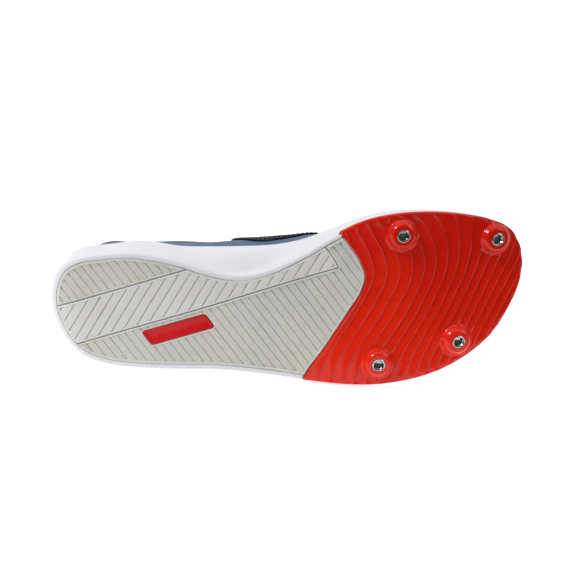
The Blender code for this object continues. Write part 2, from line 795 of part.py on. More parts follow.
def plate_mesh(stations):
    """The spike plate: rounded rim, four domed bosses and the seats of the sockets."""
    rings = [np.array([station.at(0, 0) for station in stations])]
    for inset, rise in PLATE_ROUND:
        rows = [(s.reach - RIM_WIDTH * inset, PLATE_THICK * rise) for s in stations]
        rings.append(np.array([s.at(*row) for s, row in zip(stations, rows)]))
    rings.append(np.array([station.at(0, PLATE_THICK) for station in stations]))
    body = mesh_of("plate", *skin(rings))
    front = prism("front", plate_region(0), -CUT_REACH, CUT_REACH)
    body = combined(body, [front], "INTERSECT")
    bosses = [
        cone("boss", place, -BOSS_HEIGHT, PLATE_THICK / 2, BOSS_FACE_RADIUS, BOSS_BASE_RADIUS)
        for place in SOCKET_PLACES
    ]
    body = combined(body, bosses, "UNION")
    radius = SOCKET_RADIUS + GAP
    seats = [
        cone("seat", place, -CUT_REACH, SOCKET_DEPTH - BOSS_HEIGHT + GAP, radius, radius)
        for place in SOCKET_PLACES
    ]
    return bend(combined(body, seats, "DIFFERENCE"))


def socket_mesh(place):
    """A steel receptacle with an open bore."""
    face, top = -BOSS_HEIGHT - SOCKET_PROUD, SOCKET_DEPTH - BOSS_HEIGHT
    body = cone("socket", place, face, top, SOCKET_RADIUS, SOCKET_RADIUS)
    radius = SOCKET_BORE_RADIUS
    bore = cone("bore", place, -CUT_REACH, top - SOCKET_FLOOR, radius, radius)
    return bend(combined(body, [bore], "DIFFERENCE"))


def insole_mesh(stations, grid, faces):
    """The sock liner, on the footbed inside the upper's foot."""
    inner = outward_grid(grid, faces, -UPPER_WALL - GAP)[:, 0]
    starts = np.array([station.start for station in stations])
    rings = []
    for height, shares in ((GAP, FOOTBED_RINGS), (GAP + INSOLE_THICK, FOOTBED_RINGS[::-1])):
        for share in shares:
            plan = starts + (inner[:, :2] - starts) * share
            rings.append(np.column_stack([plan, footbed(plan[:, 0]) + height]))
    return mesh_of("insole", *skin(rings))


def roof(place, across, loop):
    """A point of the upper's outer surface, bridged over the throat, at a signed distance from its
    centre line."""
    station = Station(place, 1 if across >= 0 else -1, loop)
    control, _, _ = section(station)
    edge_radius, edge_height = control[3]
    if abs(across) < edge_radius:
        handle = control[2] - control[3]
        fall = -handle[1] / handle[0]
        height = edge_height + fall * (edge_radius**2 - across**2) / (2 * edge_radius)
    else:
        curve = on_curve(control, np.linspace(1, 0.25, 120))
        height = np.interp(abs(across), curve[:, 0], curve[:, 1])
    return station.at(abs(across), height)


def roof_frame(place, across, loop):
    """A point of the roof, its outward normal and its run towards the toe."""
    step, aside = 0.002, 0.0005
    point = roof(place, across, loop)
    run = roof(place + step, across, loop) - roof(place - step, across, loop)
    over = roof(place, across + aside, loop) - roof(place, across - aside, loop)
    normal = np.cross(run, over)
    return point, normal / np.linalg.norm(normal), run / np.linalg.norm(run)


def tongue_mesh(loop):
    """A padded strip under the throat, that reaches on above its top."""
    shares = np.linspace(TONGUE_FRONT, THROAT_TOP, TONGUE_ROWS)
    across = np.linspace(-1, 1, TONGUE_COLUMNS)
    top, low = [], []
    for place in shares:
        narrow = smooth((TONGUE_NARROWS - place) / (TONGUE_NARROWS - THROAT_TOP))
        half = TONGUE_HALF_WIDTH + (TONGUE_TOP_HALF_WIDTH - TONGUE_HALF_WIDTH) * narrow
        frames = [roof_frame(place, offset * half, loop) for offset in across]
        depth = UPPER_WALL + TONGUE_GAP
        top.append([point - normal * depth for point, normal, _ in frames])
        low.append([point - normal * (depth + TONGUE_THICK) for point, normal, _ in frames])
    for share in TONGUE_END_ROWS:
        run = np.array([frame[2] for frame in frames]).mean(axis=0)
        for rows in (top, low):
            rows.append([point - run * TONGUE_ABOVE * share for point in rows[TONGUE_ROWS - 1]])
    loops = []
    for upper_row, lower_row in zip(top, low):
        loops.append(list(upper_row) + list(reversed(lower_row)))
    count = len(loops[0])
    points = np.array(loops).reshape(-1, 3)
    faces = []
    for i in range(len(loops) - 1):
        a, b = i * count, (i + 1) * count
        faces += [(a + j, a + (j + 1) % count, b + (j + 1) % count, b + j) for j in range(count)]
    last = (len(loops) - 1) * count
    for start in (0, last):
        half = len(across)
        faces += [(start + j, start + j + 1, start + count - 2 - j, start + count - 1 - j)
                  for j in range(half - 1)]
    return mesh_of("tongue", points, faces)


def eyelet_frames(loop):
    """Point and normal of each eyelet, in pairs from the throat's front to its top."""
    frames = []
    for place in np.linspace(EYELET_FRONT, EYELET_BACK, EYELET_PAIRS):
        pair = []
        for side in (1, -1):
            control, _, end = section(Station(place, side, loop))
            edge = on_curve(control, end)[0][0]
            point, normal, _ = roof_frame(place, side * (edge + EYELET_INSET), loop)
            pair.append((place, side * (edge + EYELET_INSET), point, normal))
        frames.append(pair)
    return frames


def eyelet_cutters(loop):
    """Round cutters through the upper and the eyestay."""
    reach = UPPER_WALL + EYESTAY_GAP + EYESTAY_THICK
    cutters = []
    for pair in eyelet_frames(loop):
        for _, _, point, normal in pair:
            work = bmesh.new()
            turn = Vector((0, 0, 1)).rotation_difference(Vector(normal)).to_matrix().to_4x4()
            place = Matrix.Translation(Vector(point)) @ turn
            bmesh.ops.create_cone(
                work, cap_ends=True, segments=HOLE_SIDES, radius1=EYELET_RADIUS,
                radius2=EYELET_RADIUS, depth=2 * reach, matrix=place,
            )
            mesh = bpy.data.meshes.new("eyelet")
            work.to_mesh(mesh)
            work.free()
            cutters.append(mesh)
    return cutters


def upper_mesh(grid, faces, cutters):
    """The hollow upper with its real wall, open at collar and throat and underneath."""
    points, walls = thickened(grid.reshape(-1, 3), faces, 0, UPPER_WALL)
    return combined(mesh_of("upper", points, walls), cutters, "DIFFERENCE")


def eyestay_mesh(loop, cutters):
    """The black overlay round the throat, a patch of the upper's own surface set off outwards."""
    shares = [share for share in places() if EYESTAY_BACK < share < EYESTAY_FRONT]
    shares = [EYESTAY_BACK, *shares, EYESTAY_FRONT]
    rows = EYESTAY_ROWS
    points, faces = [], []
    table = np.array(EYESTAY_EDGE)
    for side in (1, -1):
        first = len(points)
        for share in shares:
            station = Station(share, side, loop)
            control, bite, end = section(station)
            cut = bite_share(control, bite)
            lower = read_table(table[:, 0], table[:, 1:], share)[0][0 if side > 0 else 1]
            start = cut + (1 - cut) * lower
            if share < THROAT_FRONT:
                end -= EYESTAY_MARGIN / np.linalg.norm(control[2] - control[3]) / 3
            for t in np.linspace(start, end, rows):
                radius, height = on_curve(control, t)[0]
                points.append(station.at(radius, height))
        patch = [tuple(first + i for i in face) for face in grid_faces(len(shares), rows, False)]
        faces += patch if side > 0 else [tuple(reversed(face)) for face in patch]
    faces = facing_up(np.array(points), faces)
    solid = thickened(np.array(points), faces, EYESTAY_GAP + EYESTAY_THICK, -EYESTAY_GAP)
    return combined(mesh_of("eyestay", *solid), cutters, "DIFFERENCE")


def facing_up(points, faces):
    """The faces, turned so that most of them look up."""
    normals = point_normals(*welded(points, faces)[:2])
    if normals[:, 2].sum() < 0:
        return [tuple(reversed(face)) for face in faces]
    return faces


def ribbon(frames, width, thick):
    """A flat band along frames of (point, normal)."""
    points = np.array([frame[0] for frame in frames])
    run = np.gradient(points, axis=0)
    run /= np.linalg.norm(run, axis=1)[:, None]
    loops = []
    for point, way, frame in zip(points, run, frames):
        aside = np.cross(frame[1], way)
        aside /= np.linalg.norm(aside)
        up = np.cross(way, aside)
        shape = ((-0.5, -0.5), (-0.5, 0.5), (0.5, 0.5), (0.5, -0.5))
        loops.append([point + aside * a * width + up * b * thick for a, b in shape])
    count = len(loops[0])
    faces = []
    for i in range(len(loops) - 1):
        a, b = i * count, (i + 1) * count
        faces += [(a + j, a + (j + 1) % count, b + (j + 1) % count, b + j) for j in range(count)]
    last = (len(loops) - 1) * count
    faces += [tuple(range(count)), tuple(range(last + count - 1, last - 1, -1))]
    return mesh_of("band", np.array(loops).reshape(-1, 3), faces)


def laces_mesh(loop):
    """The lace's crossings and its front bar, joined, clear of the eyestay and the tongue."""
    eyelets = eyelet_frames(loop)
    lift = EYESTAY_GAP + EYESTAY_THICK + LACE_CLEARANCE + LACE_THICK / 2
    runs = [(eyelets[0][0], eyelets[0][1])]
    for near, far in zip(eyelets, eyelets[1:]):
        runs += [(near[0], far[1]), (near[1], far[0])]
    bands = []
    for start, end in runs:
        frames = []
        for t in np.linspace(-LACE_OVERRUN, 1 + LACE_OVERRUN, LACE_STEPS):
            place = start[0] + (end[0] - start[0]) * t
            across = start[1] + (end[1] - start[1]) * t
            point, normal, _ = roof_frame(place, across, loop)
            frames.append((point + normal * lift, normal))
        bands.append(ribbon(frames, LACE_WIDTH, LACE_THICK))
    return combined(bands[0], bands[1:], "UNION")


def resting_turn(points, centre):
    """The turn that lays the shoe on the face of its hull under its centre of mass, laterally down."""
    work = bmesh.new()
    for point in points:
        work.verts.new(point)
    bmesh.ops.convex_hull(work, input=work.verts)
    work.faces.ensure_lookup_table()
    best = None
    middle = Vector(points.mean(axis=0))
    for face in work.faces:
        normal = face.normal.copy()
        if normal.dot(face.calc_center_median() - middle) < 0:
            normal.negate()
        drop = centre + normal * normal.dot(face.verts[0].co - centre)
        corners = [vert.co for vert in face.verts]
        turns = [
            (corners[k] - corners[k - 1]).cross(drop - corners[k - 1]).dot(normal)
            for k in range(len(corners))
        ]
        inside = all(turn >= 0 for turn in turns) or all(turn <= 0 for turn in turns)
        if inside and (best is None or normal.y > best.y):
            best = normal
    work.free()
    down = best.normalized()
    along = Vector((1, 0, 0))
    along = (along - down * down.dot(along)).normalized()
    back = (-down).cross(along)
    return Matrix((along, back, -down)).to_4x4()


def material(name):
    """A Principled material with its colour, roughness and metallic value."""
    colour, roughness, metallic = MATERIALS[name]
    made = bpy.data.materials.new(name)
    made.use_nodes = True
    shader = made.node_tree.nodes["Principled BSDF"]
    shader.inputs["Base Color"].default_value = (*colour, 1)
    shader.inputs["Roughness"].default_value = roughness
    shader.inputs["Metallic"].default_value = metallic
    made.diffuse_color = (*colour, 1)
    return made


def piece(name, mesh, finish, frame):
    """An object in the scene with one finish, carried by the frame."""
    made = bpy.data.objects.new(name, mesh)
    bpy.context.scene.collection.objects.link(made)
    mesh.name = name
    mesh.materials.clear()
    mesh.materials.append(finish)
    for polygon in mesh.polygons:
        polygon.material_index = 0
    mesh.shade_smooth()
    mesh.set_sharp_from_angle(angle=math.radians(SHARP_ANGLE))
    made.parent = frame
    return made


def volume_and_centre(mesh):
    """Volume of a closed mesh and its centre of mass."""
    points = np.array([vert.co for vert in mesh.vertices])
    mesh.calc_loop_triangles()
    corners = points[np.array([tri.vertices for tri in mesh.loop_triangles])]
    parts = np.linalg.det(corners) / 6
    return parts.sum(), (corners.sum(axis=1) / 4 * parts[:, None]).sum(axis=0) / parts.sum()


def lay_down(frame, pieces):
    """Turns the standing shoe onto its side, and sets it on the floor with its box centred."""
    points, masses, centres = [], [], []
    for made, kind in pieces:
        volume, centre = volume_and_centre(made.data)
        masses.append(volume * DENSITIES[kind])
        centres.append(centre)
        points.append(np.array([vert.co for vert in made.data.vertices]))
    points = np.concatenate(points)
    centre = Vector(np.average(centres, axis=0, weights=masses))
    turn = resting_turn(points, centre)
    turned = points @ np.array(turn.to_3x3()).T
    low, high = turned.min(axis=0), turned.max(axis=0)
    shift = Vector((-(low[0] + high[0]) / 2, -(low[1] + high[1]) / 2, -low[2]))
    frame.matrix_world = Matrix.Translation(shift) @ turn


def build():
    for thing in list(bpy.data.objects):
        bpy.data.objects.remove(thing)
    finishes = {name: material(name) for name in MATERIALS}
    frame = bpy.data.objects.new("shoe_frame", None)
    bpy.context.scene.collection.objects.link(frame)
    loop = outline_loop()
    stations = all_stations()
    grid, faces = upper_sheet(stations)
    faces = facing_out(grid, faces)
    cutters = eyelet_cutters(loop)
    plan = [
        ("midsole", midsole_mesh(stations, grid, faces), "white_foam", "foam"),
        ("outsole_heel", heel_pod_mesh(stations), "grey_rubber", "rubber"),
        ("outsole_side", side_pod_mesh(stations), "grey_rubber", "rubber"),
        ("badge", bend(prism("badge", badge_outline(0), 0, BADGE_THICK)), "badge_red", "rubber"),
        ("spike_plate", plate_mesh(stations), "red_plastic", "plate"),
        ("insole", insole_mesh(stations, grid, faces), "dark_lining", "liner"),
        ("upper", upper_mesh(grid, faces, cutters), "blue_mesh", "fabric"),
        ("eyestay", eyestay_mesh(loop, cutters), "black_overlay", "fabric"),
        ("tongue", tongue_mesh(loop), "dark_lining", "fabric"),
        ("laces", laces_mesh(loop), "black_lace", "fabric"),
    ]
    for number, place in enumerate(SOCKET_PLACES, 1):
        plan.append((f"socket_{number}", socket_mesh(place), "steel", "steel"))
    pieces = [
        (piece(name, mesh, finishes[finish], frame), kind) for name, mesh, finish, kind in plan
    ]
    lay_down(frame, pieces)


build()
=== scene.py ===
"""Looks of the track spike shoe that lies on its side.

Every piece is worked out standing, as x from the heel's back to the toe, y to the lateral side and z up
from the ground, from the same sizes and sections as the solids. Then it is laid where the solids lie.
"""

import math

import bmesh
import bpy
import numpy as np
from mathutils import Matrix, Vector
from mathutils.geometry import delaunay_2d_cdt


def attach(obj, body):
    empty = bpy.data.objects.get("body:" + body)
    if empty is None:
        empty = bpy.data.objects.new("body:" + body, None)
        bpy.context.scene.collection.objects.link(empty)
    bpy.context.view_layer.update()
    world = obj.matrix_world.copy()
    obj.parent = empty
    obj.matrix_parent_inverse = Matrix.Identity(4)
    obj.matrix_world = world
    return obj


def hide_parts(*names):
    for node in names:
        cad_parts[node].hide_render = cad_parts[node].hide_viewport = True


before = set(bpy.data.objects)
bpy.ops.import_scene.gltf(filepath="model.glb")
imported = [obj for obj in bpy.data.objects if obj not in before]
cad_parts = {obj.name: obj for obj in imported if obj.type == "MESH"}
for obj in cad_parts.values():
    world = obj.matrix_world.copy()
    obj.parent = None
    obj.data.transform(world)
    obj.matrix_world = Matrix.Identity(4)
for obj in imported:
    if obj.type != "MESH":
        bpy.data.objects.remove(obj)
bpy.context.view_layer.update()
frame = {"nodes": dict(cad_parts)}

# Sizes of the solids, in metres
SOLE_LENGTH = 0.285
BALL_WIDTH = 0.105
INSTEP_RISE = 0.064
HEEL_STACK = 0.022
BALL_STACK = 0.011
TOE_STACK = 0.0085
HEEL_BEVEL = 0.004
BEVEL_REACH = 0.012
TOE_SPRING = 0.020
GAP = 0.0003
UPPER_WALL = 0.0016
THROAT_HALF = 0.0058
EYESTAY_THICK = 0.0009
EYESTAY_GAP = 0.00048
EYESTAY_MARGIN = 0.0016
EYELET_RADIUS = 0.0018
EYELET_INSET = 0.0068
EYELET_PAIRS = 6
TONGUE_THICK = 0.0030
TONGUE_GAP = 0.0008
TONGUE_HALF_WIDTH = 0.0165
TONGUE_TOP_HALF_WIDTH = 0.0088
TONGUE_ABOVE = 0.020
INSOLE_THICK = 0.0030
LACE_WIDTH = 0.0046
LACE_THICK = 0.0011
RIM_WIDTH = 0.0036
RIM_HEIGHT = 0.0055
CREASE_DEPTH = 0.0010
CREASE_HEIGHT = 0.0074
LIP_THICK = 0.0028
PLATE_THICK = 0.0030
BADGE_LENGTH = 0.0395
BADGE_WIDTH = 0.0095
BADGE_ROUND = 0.0022
BAND_WIDTH = 0.0252
COLLAR_STRIP = 0.0145
BOSS_HEIGHT = 0.0045
BOSS_BASE_RADIUS = 0.0097
BOSS_FACE_RADIUS = 0.0056
SOCKET_RADIUS = 0.0039
SOCKET_BORE_RADIUS = 0.0025
SOCKET_PROUD = 0.0002

# Details that the solids leave out, in metres
CORNER_ROUND = 0.0055
COLLAR_PAD = 0.0034
COLLAR_SWELL = 0.0009
TONGUE_PRESS = 0.0011
LACE_ROOT = -0.0022
LACE_OFFSET = 0.0005
LACE_BEND = 0.0009
LACE_SPREAD = 0.0035
BADGE_SINK = 0.00025
BOSS_CLEAR = 0.0125
BOSS_FIT = 0.00012
FOLD_WIDTH = 0.0021
STITCH_INSET = 0.0016
STITCH_SECOND_INSET = 0.0034

# Share of its width that the lace keeps in an eyelet, and the rows over which the tongue's end is rounded
LACE_NARROW = 0.60
TONGUE_ROUND = 4

# Places along the shoe, as shares of the sole's length
HEEL_CENTRE = 0.125
TOE_CENTRE = 0.80
HEEL_BEVEL_END = 0.06
ARCH_START = 0.28
ARCH_END = 0.55
SPRING_START = 0.66
SPRING_POWER = 1.7
STACK_START = 0.25
STACK_END = 0.62
THROAT_TOP = 0.42
THROAT_FRONT = 0.635
THROAT_ROUND = 0.025
THROAT_CLOSES = 0.53
EYESTAY_BACK = 0.375
EYESTAY_FRONT = 0.672
EYELET_BACK = 0.418
EYELET_FRONT = 0.602
TONGUE_FRONT = 0.66
TONGUE_NARROWS = 0.47

# Sole outline at the rim: share of the length, then the medial and the lateral edge as shares of the
# ball width
OUTLINE_HEEL = (0.0, -0.005)
OUTLINE_TOE = (1.0, -0.103)
OUTLINE = (
    (0.010, -0.170, 0.093),
    (0.030, -0.251, 0.200),
    (0.060, -0.293, 0.283),
    (0.110, -0.312, 0.342),
    (0.160, -0.318, 0.366),
    (0.220, -0.293, 0.383),
    (0.270, -0.256, 0.391),
    (0.330, -0.194, 0.401),
    (0.400, -0.153, 0.428),
    (0.460, -0.180, 0.460),
    (0.530, -0.260, 0.501),
    (0.600, -0.362, 0.531),
    (0.660, -0.430, 0.543),
    (0.730, -0.460, 0.533),
    (0.800, -0.457, 0.497),
    (0.870, -0.428, 0.419),
    (0.930, -0.381, 0.300),
    (0.970, -0.322, 0.152),
    (0.992, -0.229, 0.024),
)

# Centre line that the sections start from: share of the length, share of the ball width
CENTRE_LINE = (
    (0.125, 0.019),
    (0.200, 0.014),
    (0.300, 0.000),
    (0.420, -0.019),
    (0.500, -0.033),
    (0.600, -0.043),
    (0.700, -0.041),
    (0.800, -0.020),
)

# Sections of the upper from the heel's back (0) to the toe's tip (1). Inset of the foot from the rim,
# foot handle, edge radius and edge handle are shares of the ball width, edge rise and bite of the
# instep rise. Lean is the angle out of upright at the foot, slope the fall at the edge, in degrees
# place, inset, lean, foot handle, edge radius, edge rise, slope, edge handle, bite
LATERAL = (
    (0.000, 0.048, 14.0, 0.210, 0.262, 1.031, 82.0, 0.248, 0.190),
    (0.0625, 0.048, 12.0, 0.190, 0.257, 0.938, 86.0, 0.210, 0.175),
    (0.125, 0.052, 10.0, 0.171, 0.238, 0.790, 88.0, 0.171, 0.160),
    (0.200, 0.067, 8.0, 0.152, 0.240, 0.672, 86.0, 0.152, 0.150),
    (0.300, 0.071, 6.0, 0.171, 0.200, 0.734, 74.0, 0.190, 0.140),
    (0.360, 0.069, 6.0, 0.181, 0.150, 0.870, 56.0, 0.215, 0.130),
    (0.420, 0.067, 6.0, 0.190, 0.088, 0.984, 36.0, 0.260, 0.120),
    (0.500, 0.057, 6.0, 0.181, 0.076, 0.890, 22.0, 0.290, 0.110),
    (0.600, 0.048, 6.0, 0.162, 0.060, 0.742, 6.0, 0.325, 0.100),
    (0.700, 0.043, 7.0, 0.143, 0.000, 0.578, 0.0, 0.340, 0.095),
    (0.800, 0.045, 9.0, 0.130, 0.000, 0.455, 0.0, 0.290, 0.095),
    (0.900, 0.054, 11.0, 0.110, 0.000, 0.455, 0.0, 0.265, 0.100),
)
MEDIAL = (
    (0.0625, 0.048, 12.0, 0.190, 0.252, 0.953, 85.0, 0.210, 0.175),
    (0.125, 0.052, 10.0, 0.171, 0.235, 0.828, 88.0, 0.171, 0.160),
    (0.200, 0.030, 9.0, 0.171, 0.232, 0.734, 86.0, 0.152, 0.145),
    (0.270, 0.020, 10.0, 0.180, 0.212, 0.760, 80.0, 0.175, 0.130),
    (0.330, -0.034, 11.0, 0.185, 0.167, 0.850, 66.0, 0.205, 0.122),
    (0.400, -0.072, 12.0, 0.190, 0.100, 0.970, 45.0, 0.225, 0.118),
    (0.460, -0.050, 11.0, 0.185, 0.080, 0.938, 34.0, 0.225, 0.112),
    (0.530, -0.003, 9.0, 0.175, 0.072, 0.850, 20.0, 0.205, 0.105),
    (0.600, 0.028, 8.0, 0.170, 0.060, 0.742, 6.0, 0.190, 0.100),
    (0.700, 0.038, 8.0, 0.175, 0.000, 0.578, 0.0, 0.205, 0.095),
    (0.800, 0.043, 9.0, 0.145, 0.000, 0.455, 0.0, 0.230, 0.095),
    (0.900, 0.052, 11.0, 0.120, 0.000, 0.455, 0.0, 0.245, 0.100),
)
TOE_TIP = (1.000, 0.062, 13.0, 0.095, 0.000, 0.455, 0.0, 0.250, 0.110)

# Lower edge of the eyestay, as a share of the way from the midsole's edge up to the throat
# place, lateral, medial
EYESTAY_EDGE = (
    (0.375, 0.70, 0.62),
    (0.420, 0.66, 0.34),
    (0.500, 0.66, 0.32),
    (0.560, 0.66, 0.46),
    (0.620, 0.68, 0.58),
    (0.672, 0.74, 0.70),
)

# Rear edge of the spike plate, from the lateral side to the medial one, in shares of the length and
# of the ball width
PLATE_EDGE = (
    (0.505, 0.620),
    (0.522, 0.478),
    (0.568, 0.304),
    (0.622, 0.090),
    (0.649, -0.022),
    (0.658, -0.110),
    (0.650, -0.190),
    (0.628, -0.290),
    (0.606, -0.378),
    (0.570, -0.520),
)
BAND_START = 0.118
BAND_SLANT = -0.25
BADGE_PLACE = (0.263, 0.147)
BADGE_TURN = -13.8
BADGE_END_TURN = 58.0
SOCKET_PLACES = ((0.737, -0.340), (0.936, -0.272), (0.680, 0.406), (0.850, 0.309))

# Tread: pitch, depth and direction of the slats (degrees from the toe's way to the lateral side), the
# flat border round them, the seams between the pieces and the rounding of their edges
POD_PITCH = 0.0045
POD_DEPTH = 0.00052
POD_TURN = 56.0
RIB_PITCH = 0.0054
RIB_DEPTH = 0.00030
RIB_TURN = -56.0
GROOVE_WIDTH = 0.00062
GROOVE_DEPTH = 0.00060
STEP_WIDTH = 0.00013
POD_BORDER = 0.0019
SEAM_BORDER = POD_BORDER * 0.55
PLATE_BORDER = POD_BORDER * 0.5
BAND_BORDER = POD_BORDER * 0.7
BADGE_BORDER = 0.0009
SEAM_HALF = 0.00030
EDGE_ROUND = 0.0004
SEAM_DEPTH = 0.0022
BACKING = 0.0016

# Waves of the plate: their pitch and depth, and one crest, as (y, x) from the ball's widest place
WAVE_PITCH = 0.0080
WAVE_DEPTH = 0.00080
WAVE_FALL = 0.15
WAVE_CROWDS = 0.200
WAVE_CROWDING = 165.0
WAVE_ROUNDS = 120
WAVE_CREST = (
    (-0.0580, -0.0290),
    (-0.0498, -0.0190),
    (-0.0423, -0.0105),
    (-0.0350, -0.0060),
    (-0.0270, -0.0022),
    (-0.0190, 0.0000),
    (-0.0120, -0.0002),
    (-0.0060, -0.0018),
    (0.0027, -0.0066),
    (0.0145, -0.0135),
    (0.0272, -0.0225),
    (0.0381, -0.0295),
    (0.0499, -0.0352),
    (0.0620, -0.0400),
)


def smooth(share):
    """An S-shaped step from 0 to 1."""
    share = np.clip(share, 0.0, 1.0)
    return share * share * (3 - 2 * share)


def read_table(keys, rows, at, period=None):
    """Rows of a table at places between its own, on a smooth curve through all of them."""
    keys = np.asarray(keys, float)
    rows = np.asarray(rows, float)
    if period:
        keys = np.concatenate([keys[-2:] - period, keys, keys[:2] + period])
        rows = np.concatenate([rows[-2:], rows, rows[:2]])
    slopes = np.gradient(rows, keys, axis=0)
    at = np.atleast_1d(at)
    i = np.clip(np.searchsorted(keys, at, side="right") - 1, 0, len(keys) - 2)
    span = (keys[i + 1] - keys[i])[:, None]
    t = (at - keys[i])[:, None] / span
    start = (1 + 2 * t) * (1 - t) ** 2 * rows[i] + t * (1 - t) ** 2 * span * slopes[i]
    end = t * t * (3 - 2 * t) * rows[i + 1] - t * t * (1 - t) * span * slopes[i + 1]
    return start + end


def underside(x):
    """Height of the sole's underside without the bevel of the heel."""
    t = np.asarray(x) / SOLE_LENGTH
    arch = BOSS_HEIGHT * smooth((t - ARCH_START) / (ARCH_END - ARCH_START))
    spring = np.clip((t - SPRING_START) / (1 - SPRING_START), 0, None) ** SPRING_POWER
    return arch + TOE_SPRING * spring


def heel_bevel(x):
    """How much higher the underside lies at the heel's back than under the heel."""
    return HEEL_BEVEL * np.clip(1 - np.asarray(x) / SOLE_LENGTH / HEEL_BEVEL_END, 0, None) ** 2


def footbed(x):
    """Height of the midsole's top inside the upper."""
    t = np.asarray(x) / SOLE_LENGTH
    ball = smooth((t - STACK_START) / (STACK_END - STACK_START))
    toe = smooth((t - STACK_END) / (1 - STACK_END))
    stack = HEEL_STACK + (BALL_STACK - HEEL_STACK) * ball + (TOE_STACK - BALL_STACK) * toe
    return underside(x) + stack


def bent(points):
    """Flat points, with heights over a flat sole, carried onto the curve of the underside."""
    x, y, height = np.asarray(points, float).T
    step = 1e-5
    slope = (underside(x + step) - underside(x - step)) / (2 * step)
    along = 1 / np.sqrt(1 + slope * slope)
    bevel = heel_bevel(x) * np.clip(1 - height / BEVEL_REACH, 0, 1)
    return np.column_stack([x - height * slope * along, y, underside(x) + height * along + bevel])


def outline_loop(steps=1200):
    """The sole's outline, closed and finely cut, from the heel's back round the lateral side."""
    lateral = [(x, y) for x, _, y in OUTLINE]
    medial = [(x, y) for x, y, _ in reversed(OUTLINE)]
    loop = np.array([OUTLINE_HEEL, *lateral, OUTLINE_TOE, *medial])
    loop *= (SOLE_LENGTH, BALL_WIDTH)
    lengths = np.linalg.norm(np.roll(loop, -1, axis=0) - loop, axis=1)
    keys = np.concatenate([[0], np.cumsum(lengths)[:-1]])
    at = np.linspace(0, lengths.sum(), steps, endpoint=False)
    return read_table(keys, loop, at, period=lengths.sum())


class Station:
    """An upright section plane: its place, its side (1 lateral, -1 medial), start and direction."""

    def __init__(self, place, side, loop):
        self.place = place
        self.side = side
        axis = min(max(place, HEEL_CENTRE), TOE_CENTRE)
        keys, rows = [row[0] for row in CENTRE_LINE], [row[1:] for row in CENTRE_LINE]
        centre = read_table(keys, rows, axis)[0, 0] * BALL_WIDTH
        self.start = np.array([axis * SOLE_LENGTH, centre])
        turn = math.pi / 2
        if place < HEEL_CENTRE:
            turn = math.pi * (1 - place / HEEL_CENTRE / 2)
        if place > TOE_CENTRE:
            turn = math.pi / 2 * (1 - place) / (1 - TOE_CENTRE)
        self.turn = turn
        self.way = np.array([math.cos(turn), side * math.sin(turn)])
        self.reach = self.ray(loop)

    def ray(self, loop):
        """How far the loop lies from the start along the section."""
        ahead = np.roll(loop, -1, axis=0) - loop
        back = loop - self.start
        cross = self.way[0] * ahead[:, 1] - self.way[1] * ahead[:, 0]
        cross[np.abs(cross) < 1e-15] = 1e-15
        far = (back[:, 0] * ahead[:, 1] - back[:, 1] * ahead[:, 0]) / cross
        share = (back[:, 0] * self.way[1] - back[:, 1] * self.way[0]) / cross
        hits = far[(share >= -1e-9) & (share <= 1 + 1e-9) & (far > 0)]
        return float(hits.max())

    def at(self, radius, height):
        """The point at this distance from the section's start, at this height."""
        plan = self.start + self.way * radius
        return np.array([plan[0], plan[1], height])


def table_row(place, side):
    """A section's sizes in metres and radians, read round the whole shoe as one closed table."""
    lateral = list(LATERAL) + [TOE_TIP]
    medial = [(2 - row[0], *row[1:]) for row in reversed(MEDIAL)]
    rows = np.array(lateral + medial)
    key = place if side > 0 else (2 - place) % 2
    row = read_table(rows[:, 0], rows[:, 1:], key, period=2.0)[0]
    width, rise = BALL_WIDTH, INSTEP_RISE
    scale = (width, math.radians(1), width, width, rise, math.radians(1), width, rise)
    return row * scale


def throat_half(place):
    """Half the throat's width where the sections close over it, down to 0 at its rounded end."""
    into = (place - THROAT_FRONT + THROAT_ROUND) / THROAT_ROUND
    return THROAT_HALF * math.sqrt(max(0.0, 1 - max(0.0, into) ** 2))


def ridge_rise(place):
    """Rise of the vamp's ridge, where both sides meet, over the footbed."""
    place = min(place, TOE_CENTRE)
    return (table_row(place, 1)[4] + table_row(place, -1)[4]) / 2


def ridge_slope():
    """Rise of the vamp's ridge per length, where the fan of the toe takes over."""
    step = 0.01
    ends = [
        footbed(place * SOLE_LENGTH) + ridge_rise(place)
        for place in (TOE_CENTRE - step, TOE_CENTRE)
    ]
    return float(ends[1] - ends[0]) / (step * SOLE_LENGTH)


RIDGE_SLOPE = ridge_slope()


def on_curve(control, t):
    """Points (radius, height) of a section's curve."""
    t = np.atleast_1d(t)[:, None]
    parts = (1 - t) ** 3, 3 * t * (1 - t) ** 2, 3 * t * t * (1 - t), t**3
    return sum(part * point for part, point in zip(parts, control))


def section(station):
    """The upper's outer section there: its curve's control points, the height of the midsole's bite,
    and the share of the curve where the collar or the throat ends it."""
    place, side = station.place, station.side
    inset, lean, foot_handle, edge_radius, rise, slope, edge_handle, bite = table_row(place, side)
    closed = smooth((place - THROAT_CLOSES) / (THROAT_FRONT - THROAT_CLOSES))
    foot_radius = station.reach - inset
    foot = np.array([foot_radius, footbed(station.at(foot_radius, 0)[0]) + GAP])
    rise = rise * (1 - closed) + ridge_rise(place) * closed
    edge = np.array([edge_radius * (1 - closed), footbed(station.start[0]) + rise])
    down = -math.sin(slope)
    if place > TOE_CENTRE:
        down += RIDGE_SLOPE * math.cos(station.turn)
    control = np.array([
        foot,
        foot + foot_handle * np.array([math.sin(lean), math.cos(lean)]),
        edge + edge_handle * np.array([math.cos(slope), down]),
        edge,
    ])
    end = 1.0
    if throat_half(place) > edge[0] and place > THROAT_TOP:
        t = np.linspace(1, 0.5, 400)
        end = float(np.interp(throat_half(place), on_curve(control, t)[:, 0], t))
    return control, bite, end


